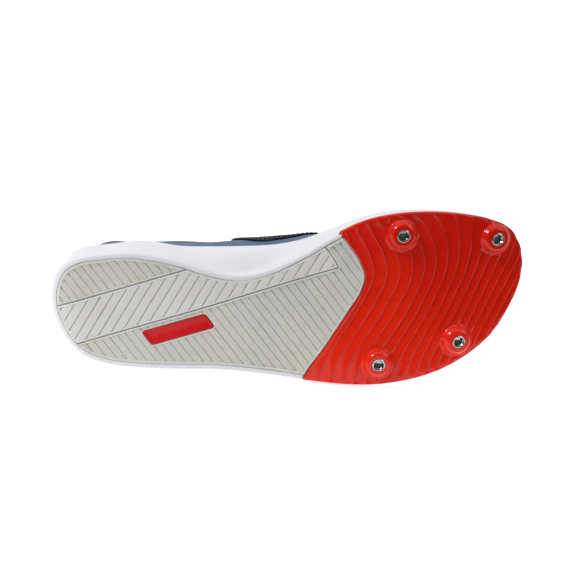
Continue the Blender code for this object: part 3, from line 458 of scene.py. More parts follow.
def bite_share(control, bite):
    """Where on its curve a section leaves the midsole."""
    t = np.linspace(0, 0.6, 200)
    return float(np.interp(control[0][1] + bite, on_curve(control, t)[:, 1], t))


def places(heel=22, middle=96, rounded=12, vamp=26, toe=26):
    """Places of the sections along one side, closer together round the throat's front."""
    turns = np.sin(np.linspace(0, math.pi / 2, rounded + 1))
    parts = (
        np.linspace(0, HEEL_CENTRE, heel, endpoint=False),
        np.linspace(HEEL_CENTRE, THROAT_FRONT - THROAT_ROUND, middle, endpoint=False),
        THROAT_FRONT - THROAT_ROUND + THROAT_ROUND * turns[:-1],
        np.linspace(THROAT_FRONT, TOE_CENTRE, vamp, endpoint=False),
        np.linspace(TOE_CENTRE, 1, toe + 1),
    )
    return np.concatenate(parts)


LOOP = outline_loop()
LATERAL_STATIONS = [Station(share, 1, LOOP) for share in places()]
STATIONS = LATERAL_STATIONS + [Station(share, -1, LOOP) for share in places()[1:-1][::-1]]
SECTIONS = [section(station) for station in STATIONS]
REACH = np.array([station.reach for station in STATIONS])
STARTS = np.array([station.start for station in STATIONS])
WAYS = np.array([station.way for station in STATIONS])


def standing_frame():
    """Turn and shift from the standing shoe to the lying one, from the solids: the flat of the heel
    gives the turn, because the shoe's length lies along X, and the shoe's ends give the shift."""
    mesh = frame["nodes"]["outsole_heel"].data
    flat = max((p for p in mesh.polygons if p.normal.y < 0), key=lambda p: p.area)
    up = -np.array(flat.normal)
    lean = -up[0] / up[2]
    rise = lean / math.hypot(1, lean)
    level = math.sqrt(1 - rise * rise)
    side = -math.sqrt(1 - rise * rise - up[2] * up[2])
    top = np.array([rise, side, up[2]])
    along = np.array([level, -rise * side / level, -rise * up[2] / level])
    turn = np.array([along, np.cross(top, along), top])
    sole = np.array([vert.co for vert in frame["nodes"]["midsole"].data.vertices]) @ turn
    socket = np.array([vert.co for vert in frame["nodes"]["socket_1"].data.vertices]) @ turn
    middle = (socket[:, 1].min() + socket[:, 1].max()) / 2
    shift = (sole[:, 0].min(), middle - SOCKET_PLACES[0][1] * BALL_WIDTH, sole[:, 2].min())
    return turn, turn @ np.array(shift)


TURN, SHIFT = standing_frame()


def laid(points):
    """Points of the standing shoe where they lie in the frame."""
    return np.asarray(points, float) @ TURN.T + SHIFT


# Meshes

def grid_faces(columns, rows, closed=True):
    """Faces of a grid whose point (column, row) has the index column * rows + row."""
    faces = []
    for i in range(columns if closed else columns - 1):
        a, b = i * rows, (i + 1) % columns * rows
        faces += [(a + j, b + j, b + j + 1, a + j + 1) for j in range(rows - 1)]
    return faces


def tube_faces(rings, sides, first=0):
    """Faces between rings of points that follow each other, each with this many points."""
    faces = []
    for ring in range(rings - 1):
        a, b = first + ring * sides, first + (ring + 1) * sides
        faces += [(a + j, a + (j + 1) % sides, b + (j + 1) % sides, b + j) for j in range(sides)]
    return faces


def unit(rows):
    """Vectors, one to a row, made one long."""
    return rows / np.linalg.norm(rows, axis=-1, keepdims=True)


def sum_parts(parts):
    """Several lists of (points, faces) made one."""
    points, faces = [], []
    for some, their in parts:
        first = len(points)
        points += list(some)
        faces += [tuple(first + i for i in face) for face in their]
    return points, faces


def welded(points, faces):
    """Points that coincide made one, with the new index of each, and collapsed faces dropped."""
    points = np.asarray(points, float)
    _, first, index = np.unique(
        np.round(points, 7), axis=0, return_index=True, return_inverse=True
    )
    index = index.reshape(-1)
    kept, source = [], []
    for number, face in enumerate(faces):
        ring = [int(index[i]) for i in face]
        ring = [p for k, p in enumerate(ring) if p != ring[k - 1]]
        if len(ring) > 2:
            kept.append(tuple(ring))
            source.append(number)
    return points[first], kept, index, first, source


def point_normals(points, faces):
    """A unit normal for each point, from the faces round it."""
    normals = np.zeros_like(points)
    for face in faces:
        corners = points[list(face)]
        area = np.zeros(3)
        for k in range(len(face)):
            area += np.cross(corners[k - 1], corners[k])
        normals[list(face)] += area
    return unit(normals)


def piece(name, points, faces, finishes, weave=None, kinds=None, sharp=35, normals=None):
    """A mesh object laid in the frame, with its finishes, and with weave coordinates in millimetres."""
    mesh = bpy.data.meshes.new(name)
    mesh.from_pydata([tuple(point) for point in laid(points)], [], [tuple(f) for f in faces])
    for finish in finishes:
        mesh.materials.append(finish)
    if kinds is not None:
        mesh.polygons.foreach_set("material_index", np.asarray(kinds, np.int32))
    if weave is not None:
        corners = np.zeros(len(mesh.loops), np.int32)
        mesh.loops.foreach_get("vertex_index", corners)
        layer = mesh.uv_layers.new(name="weave")
        layer.data.foreach_set("uv", np.asarray(weave, np.float32)[corners].ravel())
    mesh.shade_smooth()
    if normals is not None:
        mesh.normals_split_custom_set_from_vertices([tuple(n) for n in normals @ TURN.T])
    elif sharp:
        mesh.set_sharp_from_angle(angle=math.radians(sharp))
    made = bpy.data.objects.new(name, mesh)
    bpy.context.scene.collection.objects.link(made)
    return made


def worn(made, slot, *nodes):
    """The piece rides on the shoe and stands for the nodes. The slot is not used."""
    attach(made, "root")
    if nodes:
        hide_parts(*nodes)
    return made


# Plan of the sole

def rim_loop(inset, every=1):
    """The sole's outline in plan, this far inside its rim."""
    loop = (STARTS + WAYS * REACH[:, None])[::every]
    ahead = unit(np.roll(loop, -1, axis=0) - loop)
    normal = np.column_stack([ahead[:, 1], -ahead[:, 0]])
    turn = np.sum(loop[:, 0] * np.roll(loop[:, 1], -1) - np.roll(loop[:, 0], -1) * loop[:, 1])
    normal *= np.sign(turn)
    corner = normal + np.roll(normal, 1, axis=0)
    corner /= (1 + np.sum(normal * np.roll(normal, 1, axis=0), axis=1))[:, None]
    return loop - corner * inset


def edge_line(ahead=0.0, count=60):
    """The plate's rear edge moved ahead, from the lateral to the medial side."""
    edge = np.array(PLATE_EDGE) * (SOLE_LENGTH, BALL_WIDTH)
    steps = np.linalg.norm(np.diff(edge, axis=0), axis=1)
    keys = np.concatenate([[0], np.cumsum(steps)])
    line = read_table(keys, edge, np.linspace(0, keys[-1], count))
    run = unit(np.gradient(line, axis=0))
    return line + np.column_stack([-run[:, 1], run[:, 0]]) * ahead


def collar_line(ahead=0.0):
    """Rear edge of the grey strip behind the plate, moved ahead."""
    return edge_line(ahead) - (COLLAR_STRIP, 0)


def band_line(side, out=0.0):
    """One edge of the light band, moved out of the band, as a line from heel to toe."""
    half = (BAND_WIDTH / 2 + out) * math.sqrt(1 + BAND_SLANT**2)
    x = np.linspace(-0.01, SOLE_LENGTH, 60)
    return np.column_stack([x, BAND_START * BALL_WIDTH + side * half + BAND_SLANT * x])


def badge_loop(grow=0.0, steps=6):
    """A slanted tablet with rounded corners."""
    turn, end_turn = math.radians(BADGE_TURN), math.radians(BADGE_END_TURN)
    along = np.array([math.cos(turn), math.sin(turn)])
    across = np.array([math.cos(end_turn), math.sin(end_turn)])
    middle = np.array(BADGE_PLACE) * (SOLE_LENGTH, BALL_WIDTH)
    skew = math.sin(end_turn - turn)
    reach = (BADGE_WIDTH / 2 + grow) / skew
    half = BADGE_LENGTH / 2 + grow / skew
    corners = [middle + a * half * along + b * reach * across
               for a, b in ((-1, -1), (1, -1), (1, 1), (-1, 1))]
    outline = []
    for k, corner in enumerate(corners):
        before, after = unit(corners[k - 1] - corner), unit(corners[(k + 1) % 4] - corner)
        ends = corner + before * (BADGE_ROUND + grow), corner + after * (BADGE_ROUND + grow)
        outline += [ends[0] * (1 - t) ** 2 + corner * 2 * t * (1 - t) + ends[1] * t * t
                    for t in np.linspace(0, 1, steps)]
    return np.array(outline)


def inside(points, loop):
    """Which points of the plan lie inside a closed loop."""
    found = np.zeros(len(points), bool)
    following = np.roll(loop, -1, axis=0)
    for (ax, ay), (bx, by) in zip(loop, following):
        if ay == by:
            continue
        over = (points[:, 1] < ay) != (points[:, 1] < by)
        found ^= over & (points[:, 0] < (bx - ax) * (points[:, 1] - ay) / (by - ay) + ax)
    return found


def distance(points, line, closed):
    """How far each point of the plan lies from a line."""
    starts = line if closed else line[:-1]
    ends = np.roll(line, -1, axis=0) if closed else line[1:]
    best = np.full(len(points), 1.0)
    for start, end in zip(starts, ends):
        run = end - start
        span = run @ run
        t = np.clip((points - start) @ run / max(span, 1e-18), 0, 1)
        off = points - start - t[:, None] * run
        best = np.minimum(best, np.einsum("ij,ij->i", off, off))
    return np.sqrt(best)


def cut_plan(loops, lines, keep):
    """Triangles of the plan, cut along all loops and lines. keep says which middles of them stay."""
    scale = 1000
    verts, edges = [], []
    for line, closed in [(loop, True) for loop in loops] + [(line, False) for line in lines]:
        first, count = len(verts), len(line)
        verts += [Vector(point) for point in np.asarray(line) * scale]
        edges += [(first + i, first + (i + 1) % count) for i in range(count if closed else count - 1)]
    points, _, faces, *_ = delaunay_2d_cdt(verts, edges, [], 0, 1e-5)
    points = np.array([point[:] for point in points]) / scale
    faces = np.array(faces)
    corners = points[faces]
    one, two = corners[:, 1] - corners[:, 0], corners[:, 2] - corners[:, 0]
    area = one[:, 0] * two[:, 1] - one[:, 1] * two[:, 0]
    faces[area > 0] = faces[area > 0][:, ::-1]
    faces = faces[(np.abs(area) > 1e-13) & keep(corners.mean(axis=1))]
    used, index = np.unique(faces, return_inverse=True)
    return points[used], index.reshape(faces.shape)


def skirt(points, faces, height):
    """Walls from the open edges of a flat sheet up into the sole."""
    ways = set()
    for a, b, c in faces:
        ways |= {(a, b), (b, c), (c, a)}
    rim = [(a, b) for a, b in ways if (b, a) not in ways]
    own = sorted({a for way in rim for a in way})
    lower = {a: len(points) + k for k, a in enumerate(own)}
    low = np.column_stack([points[own][:, :2], np.full(len(own), height)])
    walls = [(b, a, lower[a], lower[b]) for a, b in rim]
    return np.concatenate([points, low]), [tuple(f) for f in faces] + walls


def slat_lines(turn, pitch):
    """Pairs of parallel lines over the sole, where each slat's step begins and ends."""
    way = np.array([math.cos(math.radians(turn)), math.sin(math.radians(turn))])
    across = np.array([-way[1], way[0]]) * (-1 if turn > 0 else 1)
    lines = []
    for k in range(-40, 90):
        for offset in (0, STEP_WIDTH, pitch - GROOVE_WIDTH, pitch - GROOVE_WIDTH + STEP_WIDTH):
            middle = across * (k * pitch + offset)
            lines.append(np.array([middle - way * 0.4, middle + way * 0.4]))
    return lines, across


def slat_depth(points, across, pitch, depth):
    """Depth of the slats: growing up to a narrow groove, and back to nothing over the groove's wall."""
    far = (points @ across + 1e-7) % pitch
    keys = (0, STEP_WIDTH, pitch - GROOVE_WIDTH, pitch - GROOVE_WIDTH + STEP_WIDTH, pitch)
    bottom = depth + GROOVE_DEPTH
    return np.interp(far, keys, (bottom, 0, depth, bottom, bottom))


def clipped(line, low, high):
    """A straight line cut to the sole's box."""
    start, end = line
    run = end - start
    t = [0.0, 1.0]
    for k in range(2):
        if abs(run[k]) < 1e-12:
            continue
        ends = sorted([(low[k] - start[k]) / run[k], (high[k] - start[k]) / run[k]])
        t = [max(t[0], ends[0]), min(t[1], ends[1])]
    if t[0] >= t[1]:
        return None
    return np.array([start + run * t[0], start + run * t[1]])


def tread(name, finish, region, boundaries, turn, pitch, depth, box):
    """A piece of the tread: rounded edges, a flat border, and slats let into it."""
    loops, lines = [], []
    for curve, closed, border in boundaries:
        for offset in (0, EDGE_ROUND * 0.35, EDGE_ROUND, border, border + STEP_WIDTH):
            (loops if closed else lines).append(curve(offset))
    slats, across = slat_lines(turn, pitch)
    lines += [line for line in (clipped(line, *box) for line in slats) if line is not None]
    for x in np.arange(box[0][0], box[1][0], 0.006):
        lines.append(np.array([(x, box[0][1]), (x, box[1][1])]))
    plan, faces = cut_plan(loops, lines, region)
    height = np.zeros(len(plan))
    into = np.ones(len(plan))
    for curve, closed, border in boundaries:
        gap = distance(plan, curve(0), closed)
        round_off = np.clip(1 - gap / EDGE_ROUND, 0, 1)
        height = np.maximum(height, EDGE_ROUND * (1 - np.sqrt(1 - round_off**2)))
        into = np.minimum(into, np.clip((gap - border) / STEP_WIDTH, 0, 1))
    height += into * slat_depth(plan, across, pitch, depth)
    points, faces = skirt(np.column_stack([plan, height]), faces, SEAM_DEPTH)
    weave = np.column_stack([points[:, :2] @ across, points[:, :2] @ (across[1], -across[0])]) * 1000
    return piece(name, bent(points), faces, [finish], weave=weave, sharp=24)


def ahead_of(points, line):
    """Which points lie ahead of a line from the lateral to the medial side."""
    order = np.argsort(line[:, 1])
    return points[:, 0] > np.interp(points[:, 1], line[order, 1], line[order, 0])


def over_band(points, side, out):
    """Which points lie beyond one edge of the band."""
    line = band_line(side, out)
    return side * (points[:, 1] - np.interp(points[:, 0], line[:, 0], line[:, 1])) > 0


def band_corner(offset):
    """Where the pod's edges along the band and along its front end meet, moved into the pod."""
    strip, edge = collar_line(SEAM_HALF + offset), band_line(1, SEAM_HALF + offset)
    off = strip[:, 1] - np.interp(strip[:, 0], edge[:, 0], edge[:, 1])
    k = int(np.argmax(off < 0))
    share = off[k - 1] / (off[k - 1] - off[k])
    return strip[k - 1] + (strip[k] - strip[k - 1]) * share


def make_heel_pod(finish):
    rim = rim_loop(RIM_WIDTH, 2)

    def region(points):
        return inside(points, rim) & over_band(points, -1, SEAM_HALF)

    boundaries = [
        (lambda offset: rim_loop(RIM_WIDTH + offset, 2), True, POD_BORDER),
        (lambda offset: band_line(-1, SEAM_HALF + offset), False, SEAM_BORDER),
    ]
    box = (np.array([0.0, -0.034]), np.array([0.090, 0.004]))
    made = tread("heel_pod", finish, region, boundaries, POD_TURN, POD_PITCH, POD_DEPTH, box)
    return worn(made, "grey_rubber", "outsole_heel")


def make_side_pod(finish):
    rim = rim_loop(RIM_WIDTH, 2)
    badge = badge_loop(SEAM_HALF)
    plate = edge_line(-SEAM_HALF * 2)
    strip = collar_line(SEAM_HALF)

    def region(points):
        within = inside(points, rim) & ~inside(points, badge) & ~ahead_of(points, plate)
        return within & (over_band(points, 1, SEAM_HALF) | ahead_of(points, strip))

    def band_side(offset):
        line = band_line(1, SEAM_HALF + offset)
        kept = line[~ahead_of(line, collar_line(SEAM_HALF + offset))]
        return np.concatenate([kept, [band_corner(offset)]])

    def band_end(offset):
        line = collar_line(SEAM_HALF + offset)
        kept = line[~over_band(line, 1, SEAM_HALF + offset)]
        return np.concatenate([[band_corner(offset)], kept])

    boundaries = [
        (lambda offset: rim_loop(RIM_WIDTH + offset, 2), True, POD_BORDER),
        (band_side, False, SEAM_BORDER),
        (band_end, False, SEAM_BORDER),
        (lambda offset: edge_line(-SEAM_HALF * 2 - offset), False, PLATE_BORDER),
        (lambda offset: badge_loop(SEAM_HALF + offset), True, BADGE_BORDER),
    ]
    box = (np.array([0.0, -0.045]), np.array([0.20, 0.058]))
    made = tread("side_pod", finish, region, boundaries, POD_TURN, POD_PITCH, POD_DEPTH, box)
    return worn(made, "grey_rubber", "outsole_side")


def make_band(finish):
    rim = rim_loop(RIM_WIDTH, 2)

    def region(points):
        within = inside(points, rim) & ~over_band(points, 1, -SEAM_HALF)
        return within & ~over_band(points, -1, -SEAM_HALF) & ~ahead_of(points, collar_line(-SEAM_HALF))

    boundaries = [
        (lambda offset: rim_loop(RIM_WIDTH + offset, 2), True, BAND_BORDER),
        (lambda offset: band_line(1, -SEAM_HALF - offset), False, SEAM_BORDER),
        (lambda offset: band_line(-1, -SEAM_HALF - offset), False, SEAM_BORDER),
        (lambda offset: collar_line(-SEAM_HALF - offset), False, SEAM_BORDER),
    ]
    box = (np.array([0.0, -0.045]), np.array([0.18, 0.030]))
    made = tread("tread_band", finish, region, boundaries, RIB_TURN, RIB_PITCH, RIB_DEPTH, box)
    return worn(made, "white_foam")


def make_badge(finish):
    """The red tablet: a rounded edge round a field that lies a little lower."""
    border, fall = 0.0011, 0.0003
    insets = (0, EDGE_ROUND * 0.35, EDGE_ROUND, border, border + fall)
    loops = [badge_loop(-inset) for inset in insets]
    lines = [np.array([(x, 0.005), (x, 0.026)]) for x in np.arange(0.05, 0.10, 0.004)]
    plan, faces = cut_plan(loops, lines, lambda points: inside(points, loops[0]))
    gap = distance(plan, loops[0], True)
    round_off = np.clip(1 - gap / EDGE_ROUND, 0, 1)
    height = EDGE_ROUND * (1 - np.sqrt(1 - round_off**2))
    height += BADGE_SINK * np.clip((gap - border) / fall, 0, 1)
    points, faces = skirt(np.column_stack([plan, height]), faces, SEAM_DEPTH)
    made = piece("badge_tablet", bent(points), faces, [finish], weave=points[:, :2] * 1000, sharp=50)
    return worn(made, "badge_red", "badge")


# Spike plate

def wave_shift(x, y):
    """How far ahead of its middle a wave's crest lies here. Towards the toe the waves run straighter."""
    table = np.array(WAVE_CREST)
    bend = read_table(table[:, 0], table[:, 1:], y)[:, 0]
    off, soft = y + 0.019, 0.006
    straight = -0.28 * off - 0.34 * soft * np.log1p(np.exp(off / soft)) - 0.0015
    toe = smooth((x - 0.205) / 0.075)
    return bend * (1 - toe) + straight * toe


def wave_line(start):
    """A line of the waves over the plate, from the medial to the lateral side."""
    y = np.arange(-0.056, 0.0645, 0.0018)
    x = np.full(len(y), start)
    for _ in range(WAVE_ROUNDS):
        x = start + wave_shift(x, y)
    return np.column_stack([x, y])


def wave_count(start):
    """Number of waves behind a place of the middle. They crowd towards the toe."""
    return start / WAVE_PITCH + WAVE_CROWDING * np.clip(start - WAVE_CROWDS, 0, None) ** 2


def wave_phase(points):
    """How far into its wave each point lies, from one crest to the next."""
    return wave_count(points[:, 0] - wave_shift(points[:, 0], points[:, 1])) % 1


WAVE_PHASES = (0.0, 0.02, 0.045, 0.08, 0.115, 0.15, 0.24, 0.36, 0.50, 0.64, 0.78, 0.88, 0.945, 0.975)


def wave_profile(phase):
    """Depth of a wave as a share: a narrow crest, a quick fall ahead of it, a slow rise to the next."""
    crest = 0.03
    quick = np.clip(phase / WAVE_FALL, 0, 1)
    slow = np.clip((phase - WAVE_FALL) / (1 - WAVE_FALL), 0, 1)
    deep = np.where(phase < WAVE_FALL, np.sin(quick * math.pi / 2), 1 - slow**1.7)
    off = np.minimum(phase, 1 - phase) / crest
    round_off = 0.06 + 0.12 * np.clip(off, 0, 1) ** 2
    return np.where(off < 1, np.maximum(deep, round_off), deep)


def plate_height(points):
    """Height of the plate's outside over the flat sole: waves, rounded edges and bosses."""
    rim_gap = distance(points, rim_loop(0, 3), True)
    edge_gap = distance(points, edge_line(0, 40), False)
    wave = WAVE_DEPTH * wave_profile(wave_phase(points))
    fade = smooth((rim_gap - 0.0004) / 0.0014) * smooth((edge_gap - 0.0006) / 0.0012)
    boss = np.zeros(len(points))
    for place in SOCKET_PLACES:
        far = np.linalg.norm(points - np.array(place) * (SOLE_LENGTH, BALL_WIDTH), axis=1)
        fade = fade * smooth((far - BOSS_BASE_RADIUS + 0.0004) / 0.0016)
        rise = np.clip((BOSS_BASE_RADIUS - far) / (BOSS_BASE_RADIUS - BOSS_FACE_RADIUS), 0, 1)
        dome = 1 - (1 - 1.1 * rise * rise / (rise + 0.1)) ** 1.7
        boss = np.maximum(boss, BOSS_HEIGHT * dome)
        ring = np.exp(-(((far - BOSS_BASE_RADIUS) / 0.0005) ** 2))
        boss = boss - 0.00020 * ring
    rounding = np.clip(1 - rim_gap / 0.0029, 0, 1)
    height = 0.8 * PLATE_THICK * (1 - np.sqrt(1 - rounding**2))
    edge = np.clip(1 - edge_gap / 0.0006, 0, 1)
    height = np.maximum(height, 0.0006 * (1 - np.sqrt(1 - edge**2)))
    return height + wave * fade - boss


def rim_outward(points):
    """The level way out of the shoe at the rim next to each point."""
    loop = rim_loop(0)
    run = np.roll(loop, -1, axis=0) - np.roll(loop, 1, axis=0)
    out = unit(np.column_stack([run[:, 1], -run[:, 0], np.zeros(len(loop))]))
    if np.sum(out[:, :2] * WAYS) < 0:
        out = -out
    near = [int(np.argmin(np.sum((loop - point) ** 2, axis=1))) for point in points]
    return out[near]


def plate_surface(points):
    return bent(np.column_stack([points, plate_height(points)]))


def split_line(line, keep):
    """The stretches of a line whose points stay."""
    parts, part = [], []
    for point, stays in zip(line, keep):
        if stays:
            part.append(point)
        else:
            if len(part) > 1:
                parts.append(np.array(part))
            part = []
    if len(part) > 1:
        parts.append(np.array(part))
    return parts


def make_plate(finish):
    centres = [np.array(place) * (SOLE_LENGTH, BALL_WIDTH) for place in SOCKET_PLACES]
    rim = rim_loop(0.00002, 1)
    back = edge_line(0.0)
    hole = SOCKET_RADIUS + BOSS_FIT
    loops = [rim] + [rim_loop(inset, 1) for inset in (0.0001, 0.00025, 0.0006, 0.0011)]
    turns = np.linspace(0, 2 * math.pi, 72, endpoint=False)
    circle = np.column_stack([np.cos(turns), np.sin(turns)])
    radii = (hole, 0.0044, 0.0050, 0.0056, 0.0062, 0.0068, 0.0075, 0.0082, 0.0089, 0.0096, 0.0103,
             0.0109, 0.0115, 0.0122)
    loops += [centre + circle * radius for centre in centres for radius in radii]
    lines = [edge_line(ahead) for ahead in (0.0, 0.0002, 0.0006, 0.0012)]
    inner = rim_loop(0.00115, 1)
    front = edge_line(0.0007)
    middles = np.arange(0.12, 0.34, 0.0005)
    counts = [k + phase for k in range(17, 44) for phase in WAVE_PHASES]
    for start in np.interp(counts, wave_count(middles), middles):
        line = wave_line(start)
        keep = inside(line, inner) & ahead_of(line, front)
        for centre in centres:
            keep &= np.linalg.norm(line - centre, axis=1) > BOSS_CLEAR
        lines += split_line(line, keep)

    def region(points):
        within = inside(points, rim) & ahead_of(points, back)
        for centre in centres:
            within &= np.linalg.norm(points - centre, axis=1) > hole
        return within

    plan, faces = cut_plan(loops, lines, region)
    step = 2e-5
    across = plate_surface(plan + (0, step)) - plate_surface(plan - (0, step))
    along = plate_surface(plan + (step, 0)) - plate_surface(plan - (step, 0))
    normals = unit(np.cross(across, along))
    points, faces = skirt(np.column_stack([plan, plate_height(plan)]), faces, PLATE_THICK)
    outward = rim_outward(points[:, :2])
    edge = distance(points[:, :2], rim, True) < 0.00006
    normals = np.concatenate([normals, outward[len(plan):]])
    normals[edge] = outward[edge]
    made = piece("plate", bent(points), faces, [finish], weave=points[:, :2] * 1000, normals=normals)
    return worn(made, "red_plastic", "spike_plate")


def lathe(profile, centre, sides=72):
    """A round body round an upright axis of the flat sole, from (radius, height) rows."""
    turns = np.linspace(0, 2 * math.pi, sides, endpoint=False)
    points = [
        (centre[0] + radius * math.cos(turn), centre[1] + radius * math.sin(turn), height)
        for turn in turns for radius, height in profile
    ]
    return np.array(points), grid_faces(sides, len(profile))


def make_socket(number, finish):
    """A steel receptacle: chamfered ring, threaded bore and floor."""
    centre = np.array(SOCKET_PLACES[number - 1]) * (SOLE_LENGTH, BALL_WIDTH)
    face = -BOSS_HEIGHT - SOCKET_PROUD
    bore, outer = SOCKET_BORE_RADIUS, SOCKET_RADIUS
    profile = [
        (outer, face + 0.0030), (outer, face + 0.0005), (outer - 0.00012, face + 0.0002),
        (outer - 0.0004, face), (bore + 0.0006, face), (bore + 0.00045, face + 0.00008),
        (bore + 0.00015, face + 0.0006),
    ]
    height, thread = face + 0.0008, 0.0005
    while height < face + 0.0042:
        profile += [(bore, height), (bore + 0.00022, height + thread / 2)]
        height += thread
    profile += [
        (bore - 0.0001, height), (bore - 0.0001, height + 0.0003), (0.0008, height + 0.0008),
        (0.0, height + 0.0008),
    ]
    points, faces = lathe(profile, centre)
    points, faces, *_ = welded(points, faces)
    made = piece(f"socket_ring_{number}", bent(points), faces, [finish], sharp=28)
    return worn(made, "steel", f"socket_{number}")


# Midsole, upper and what goes with them

def arc_lengths(points):
    """Distances along a row of points, from its start."""
    steps = np.linalg.norm(np.diff(points, axis=0), axis=1)
    return np.concatenate([[0], np.cumsum(steps)])


def along_row(far, rows, at):
    """A row of vectors at a distance between its own."""
    return np.array([np.interp(at, far, rows[:, k]) for k in range(3)])


def curve_grid(shares_of):
    """A grid of points of the upper's outside, from the shares of each section's curve."""
    columns = []
    for station, (control, bite, end) in zip(STATIONS, SECTIONS):
        curve = on_curve(control, shares_of(bite_share(control, bite), end))
        plan = station.start + station.way * curve[:, :1]
        columns.append(np.column_stack([plan, curve[:, 1]]))
    return np.array(columns)


def grid_normals(grid):
    """Normals of a closed grid that point out of the shoe."""
    columns, rows = grid.shape[:2]
    points, faces, index, *_ = welded(grid.reshape(-1, 3), grid_faces(columns, rows))
    normals = point_normals(points, faces)
    away = points - points.mean(axis=0)
    away[:, 2] = 0
    if np.sum(normals * away) < 0:
        normals = -normals
    return normals[index].reshape(columns, rows, 3)


def ring_of(inset, height):
    """A ring on the bent sole, this far inside the rim, above the plate where the plate lies."""
    plan = STARTS + WAYS * (REACH - inset)[:, None]
    under = ahead_of(plan, edge_line(-0.0003)) & (height < PLATE_THICK)
    heights = np.where(under, PLATE_THICK - 0.00005 + height * 0.01, height)
    return bent(np.column_stack([plan, heights]))


def share_ring(share, height):
    plan = STARTS + WAYS * (REACH * share)[:, None]
    return bent(np.column_stack([plan, np.full(len(plan), height)]))


def make_midsole(finish):
    """The foam cup: recessed under the tread, rounded rim, crease, flank, lip and footbed."""
    shares = np.array([0, 0.125, 0.25, 0.4, 0.55, 0.7, 0.85, 1.0])
    grid = curve_grid(lambda cut, end: shares * cut)
    normals = grid_normals(grid)
    near = grid + normals * GAP
    far = grid + normals * (GAP + LIP_THICK)
    rings = [share_ring(share, BACKING) for share in (0, 0.5, 0.8)]
    rings += [ring_of(RIM_WIDTH + 0.0004, BACKING), ring_of(RIM_WIDTH - 0.00002, BACKING)]
    rings.append(ring_of(RIM_WIDTH - 0.00005, 0.0003))
    rounded = ((0.97, 0.0), (0.80, 0.0), (0.62, 0.012), (0.44, 0.045), (0.28, 0.105), (0.15, 0.21),
               (0.06, 0.34), (0.015, 0.48), (0.0, 0.62), (0.0, 0.88), (0.04, 0.97))
    rings += [ring_of(RIM_WIDTH * inset, RIM_HEIGHT * rise) for inset, rise in rounded]
    rings += [
        ring_of(CREASE_DEPTH * 0.75, RIM_HEIGHT + (CREASE_HEIGHT - RIM_HEIGHT) * 0.35),
        ring_of(CREASE_DEPTH * 1.15, RIM_HEIGHT + (CREASE_HEIGHT - RIM_HEIGHT) * 0.62),
        ring_of(CREASE_DEPTH, CREASE_HEIGHT),
    ]
    crease = rings[-1]
    flank = far[:, 1]
    for share in (0.12, 0.3, 0.5, 0.75):
        swell = math.sin(share * math.pi) * 0.0004
        rings.append(crease * (1 - share) + flank * share + normals[:, 1] * swell)
    rings += [far[:, row] for row in range(1, len(shares) - 1)]
    lip, edge = far[:, -1], near[:, -1]
    up = unit(lip - far[:, -2])
    middle, half = (lip + edge) / 2, (lip - edge) / 2
    for turn in np.linspace(0, math.pi, 7):
        rise = LIP_THICK * 0.28 * math.sin(turn) - LIP_THICK * 0.2
        rings.append(middle + half * math.cos(turn) + up * rise)
    rings += [near[:, row] for row in range(len(shares) - 2, 0, -1)]
    foot = near[:, 0].copy()
    foot[:, 2] -= GAP
    rings.append(foot)
    for share in (0.66, 0.33, 0):
        plan = STARTS + (foot[:, :2] - STARTS) * share
        rings.append(np.column_stack([plan, footbed(plan[:, 0])]))
    grid = np.stack(rings, axis=1)
    faces = grid_faces(*grid.shape[:2])
    along = arc_lengths(np.concatenate([grid[:, 12], grid[:1, 12]]))[:-1] * 1000
    up = np.array([arc_lengths(column) for column in grid]) * 1000
    weave = np.stack([np.broadcast_to(along[:, None], up.shape), up], axis=2).reshape(-1, 2)
    points, faces, _, first, _ = welded(grid.reshape(-1, 3), faces)
    made = piece("foam_sole", points, faces, [finish], weave=weave[first], sharp=40)
    return worn(made, "white_foam", "midsole")


def outside_faces(points, faces, middle):
    """The faces turned so that their normals point away from the middle line."""
    normals = point_normals(points, faces)
    away = points - middle
    if np.sum(normals * away) < 0:
        return [tuple(reversed(face)) for face in faces]
    return [tuple(face) for face in faces]


def rolled_sheet(points, faces, out, into, steps):
    """A sheet made a closed wall with rounded edges. Its last faces are the inner side and the edges.
    Returns the points, the faces, the kind of each face (0 outside, 1 inside) and each point's source."""
    normals = point_normals(points, faces)
    count = len(points)
    outer = points + normals * out[:, None]
    inner = points - normals * into[:, None]
    shell = [tuple(face) for face in faces]
    kinds = [0] * len(shell)
    shell += [tuple(i + count for i in reversed(face)) for face in faces]
    kinds += [1] * len(faces)
    ways = {}
    for face in faces:
        for k in range(len(face)):
            ways[(face[k - 1], face[k])] = face
    rim = [(way, face) for way, face in ways.items() if way[::-1] not in ways]
    outward = {}
    for (a, b), face in rim:
        middle = points[list(face)].mean(axis=0)
        run = points[b] - points[a]
        off = (points[a] + points[b]) / 2 - middle
        off -= run * (off @ run) / max(run @ run, 1e-18)
        off /= max(np.linalg.norm(off), 1e-12)
        for i in (a, b):
            outward[i] = outward.get(i, 0) + off
    extra, source = [], list(range(count)) * 2
    arcs = {}
    for i in sorted(outward):
        way = outward[i] - normals[i] * (outward[i] @ normals[i])
        way /= max(np.linalg.norm(way), 1e-12)
        middle, half = (outer[i] + inner[i]) / 2, (outer[i] - inner[i]) / 2
        reach = np.linalg.norm(half)
        arcs[i] = [i]
        for k in range(1, steps):
            turn = math.pi * k / steps
            arcs[i].append(2 * count + len(extra))
            extra.append(middle + half * math.cos(turn) + way * reach * math.sin(turn))
            source.append(i)
        arcs[i].append(i + count)
    for (a, b), _ in rim:
        for k in range(steps):
            shell.append((b, a, arcs[a][k + 1], arcs[b][k + 1]) if k == 0
                         else (arcs[b][k], arcs[a][k], arcs[a][k + 1], arcs[b][k + 1]))
            kinds.append(1 if k >= steps // 3 else 0)
    solid = np.concatenate([outer, inner, np.array(extra).reshape(-1, 3)])
    return solid, shell, kinds, np.array(source)


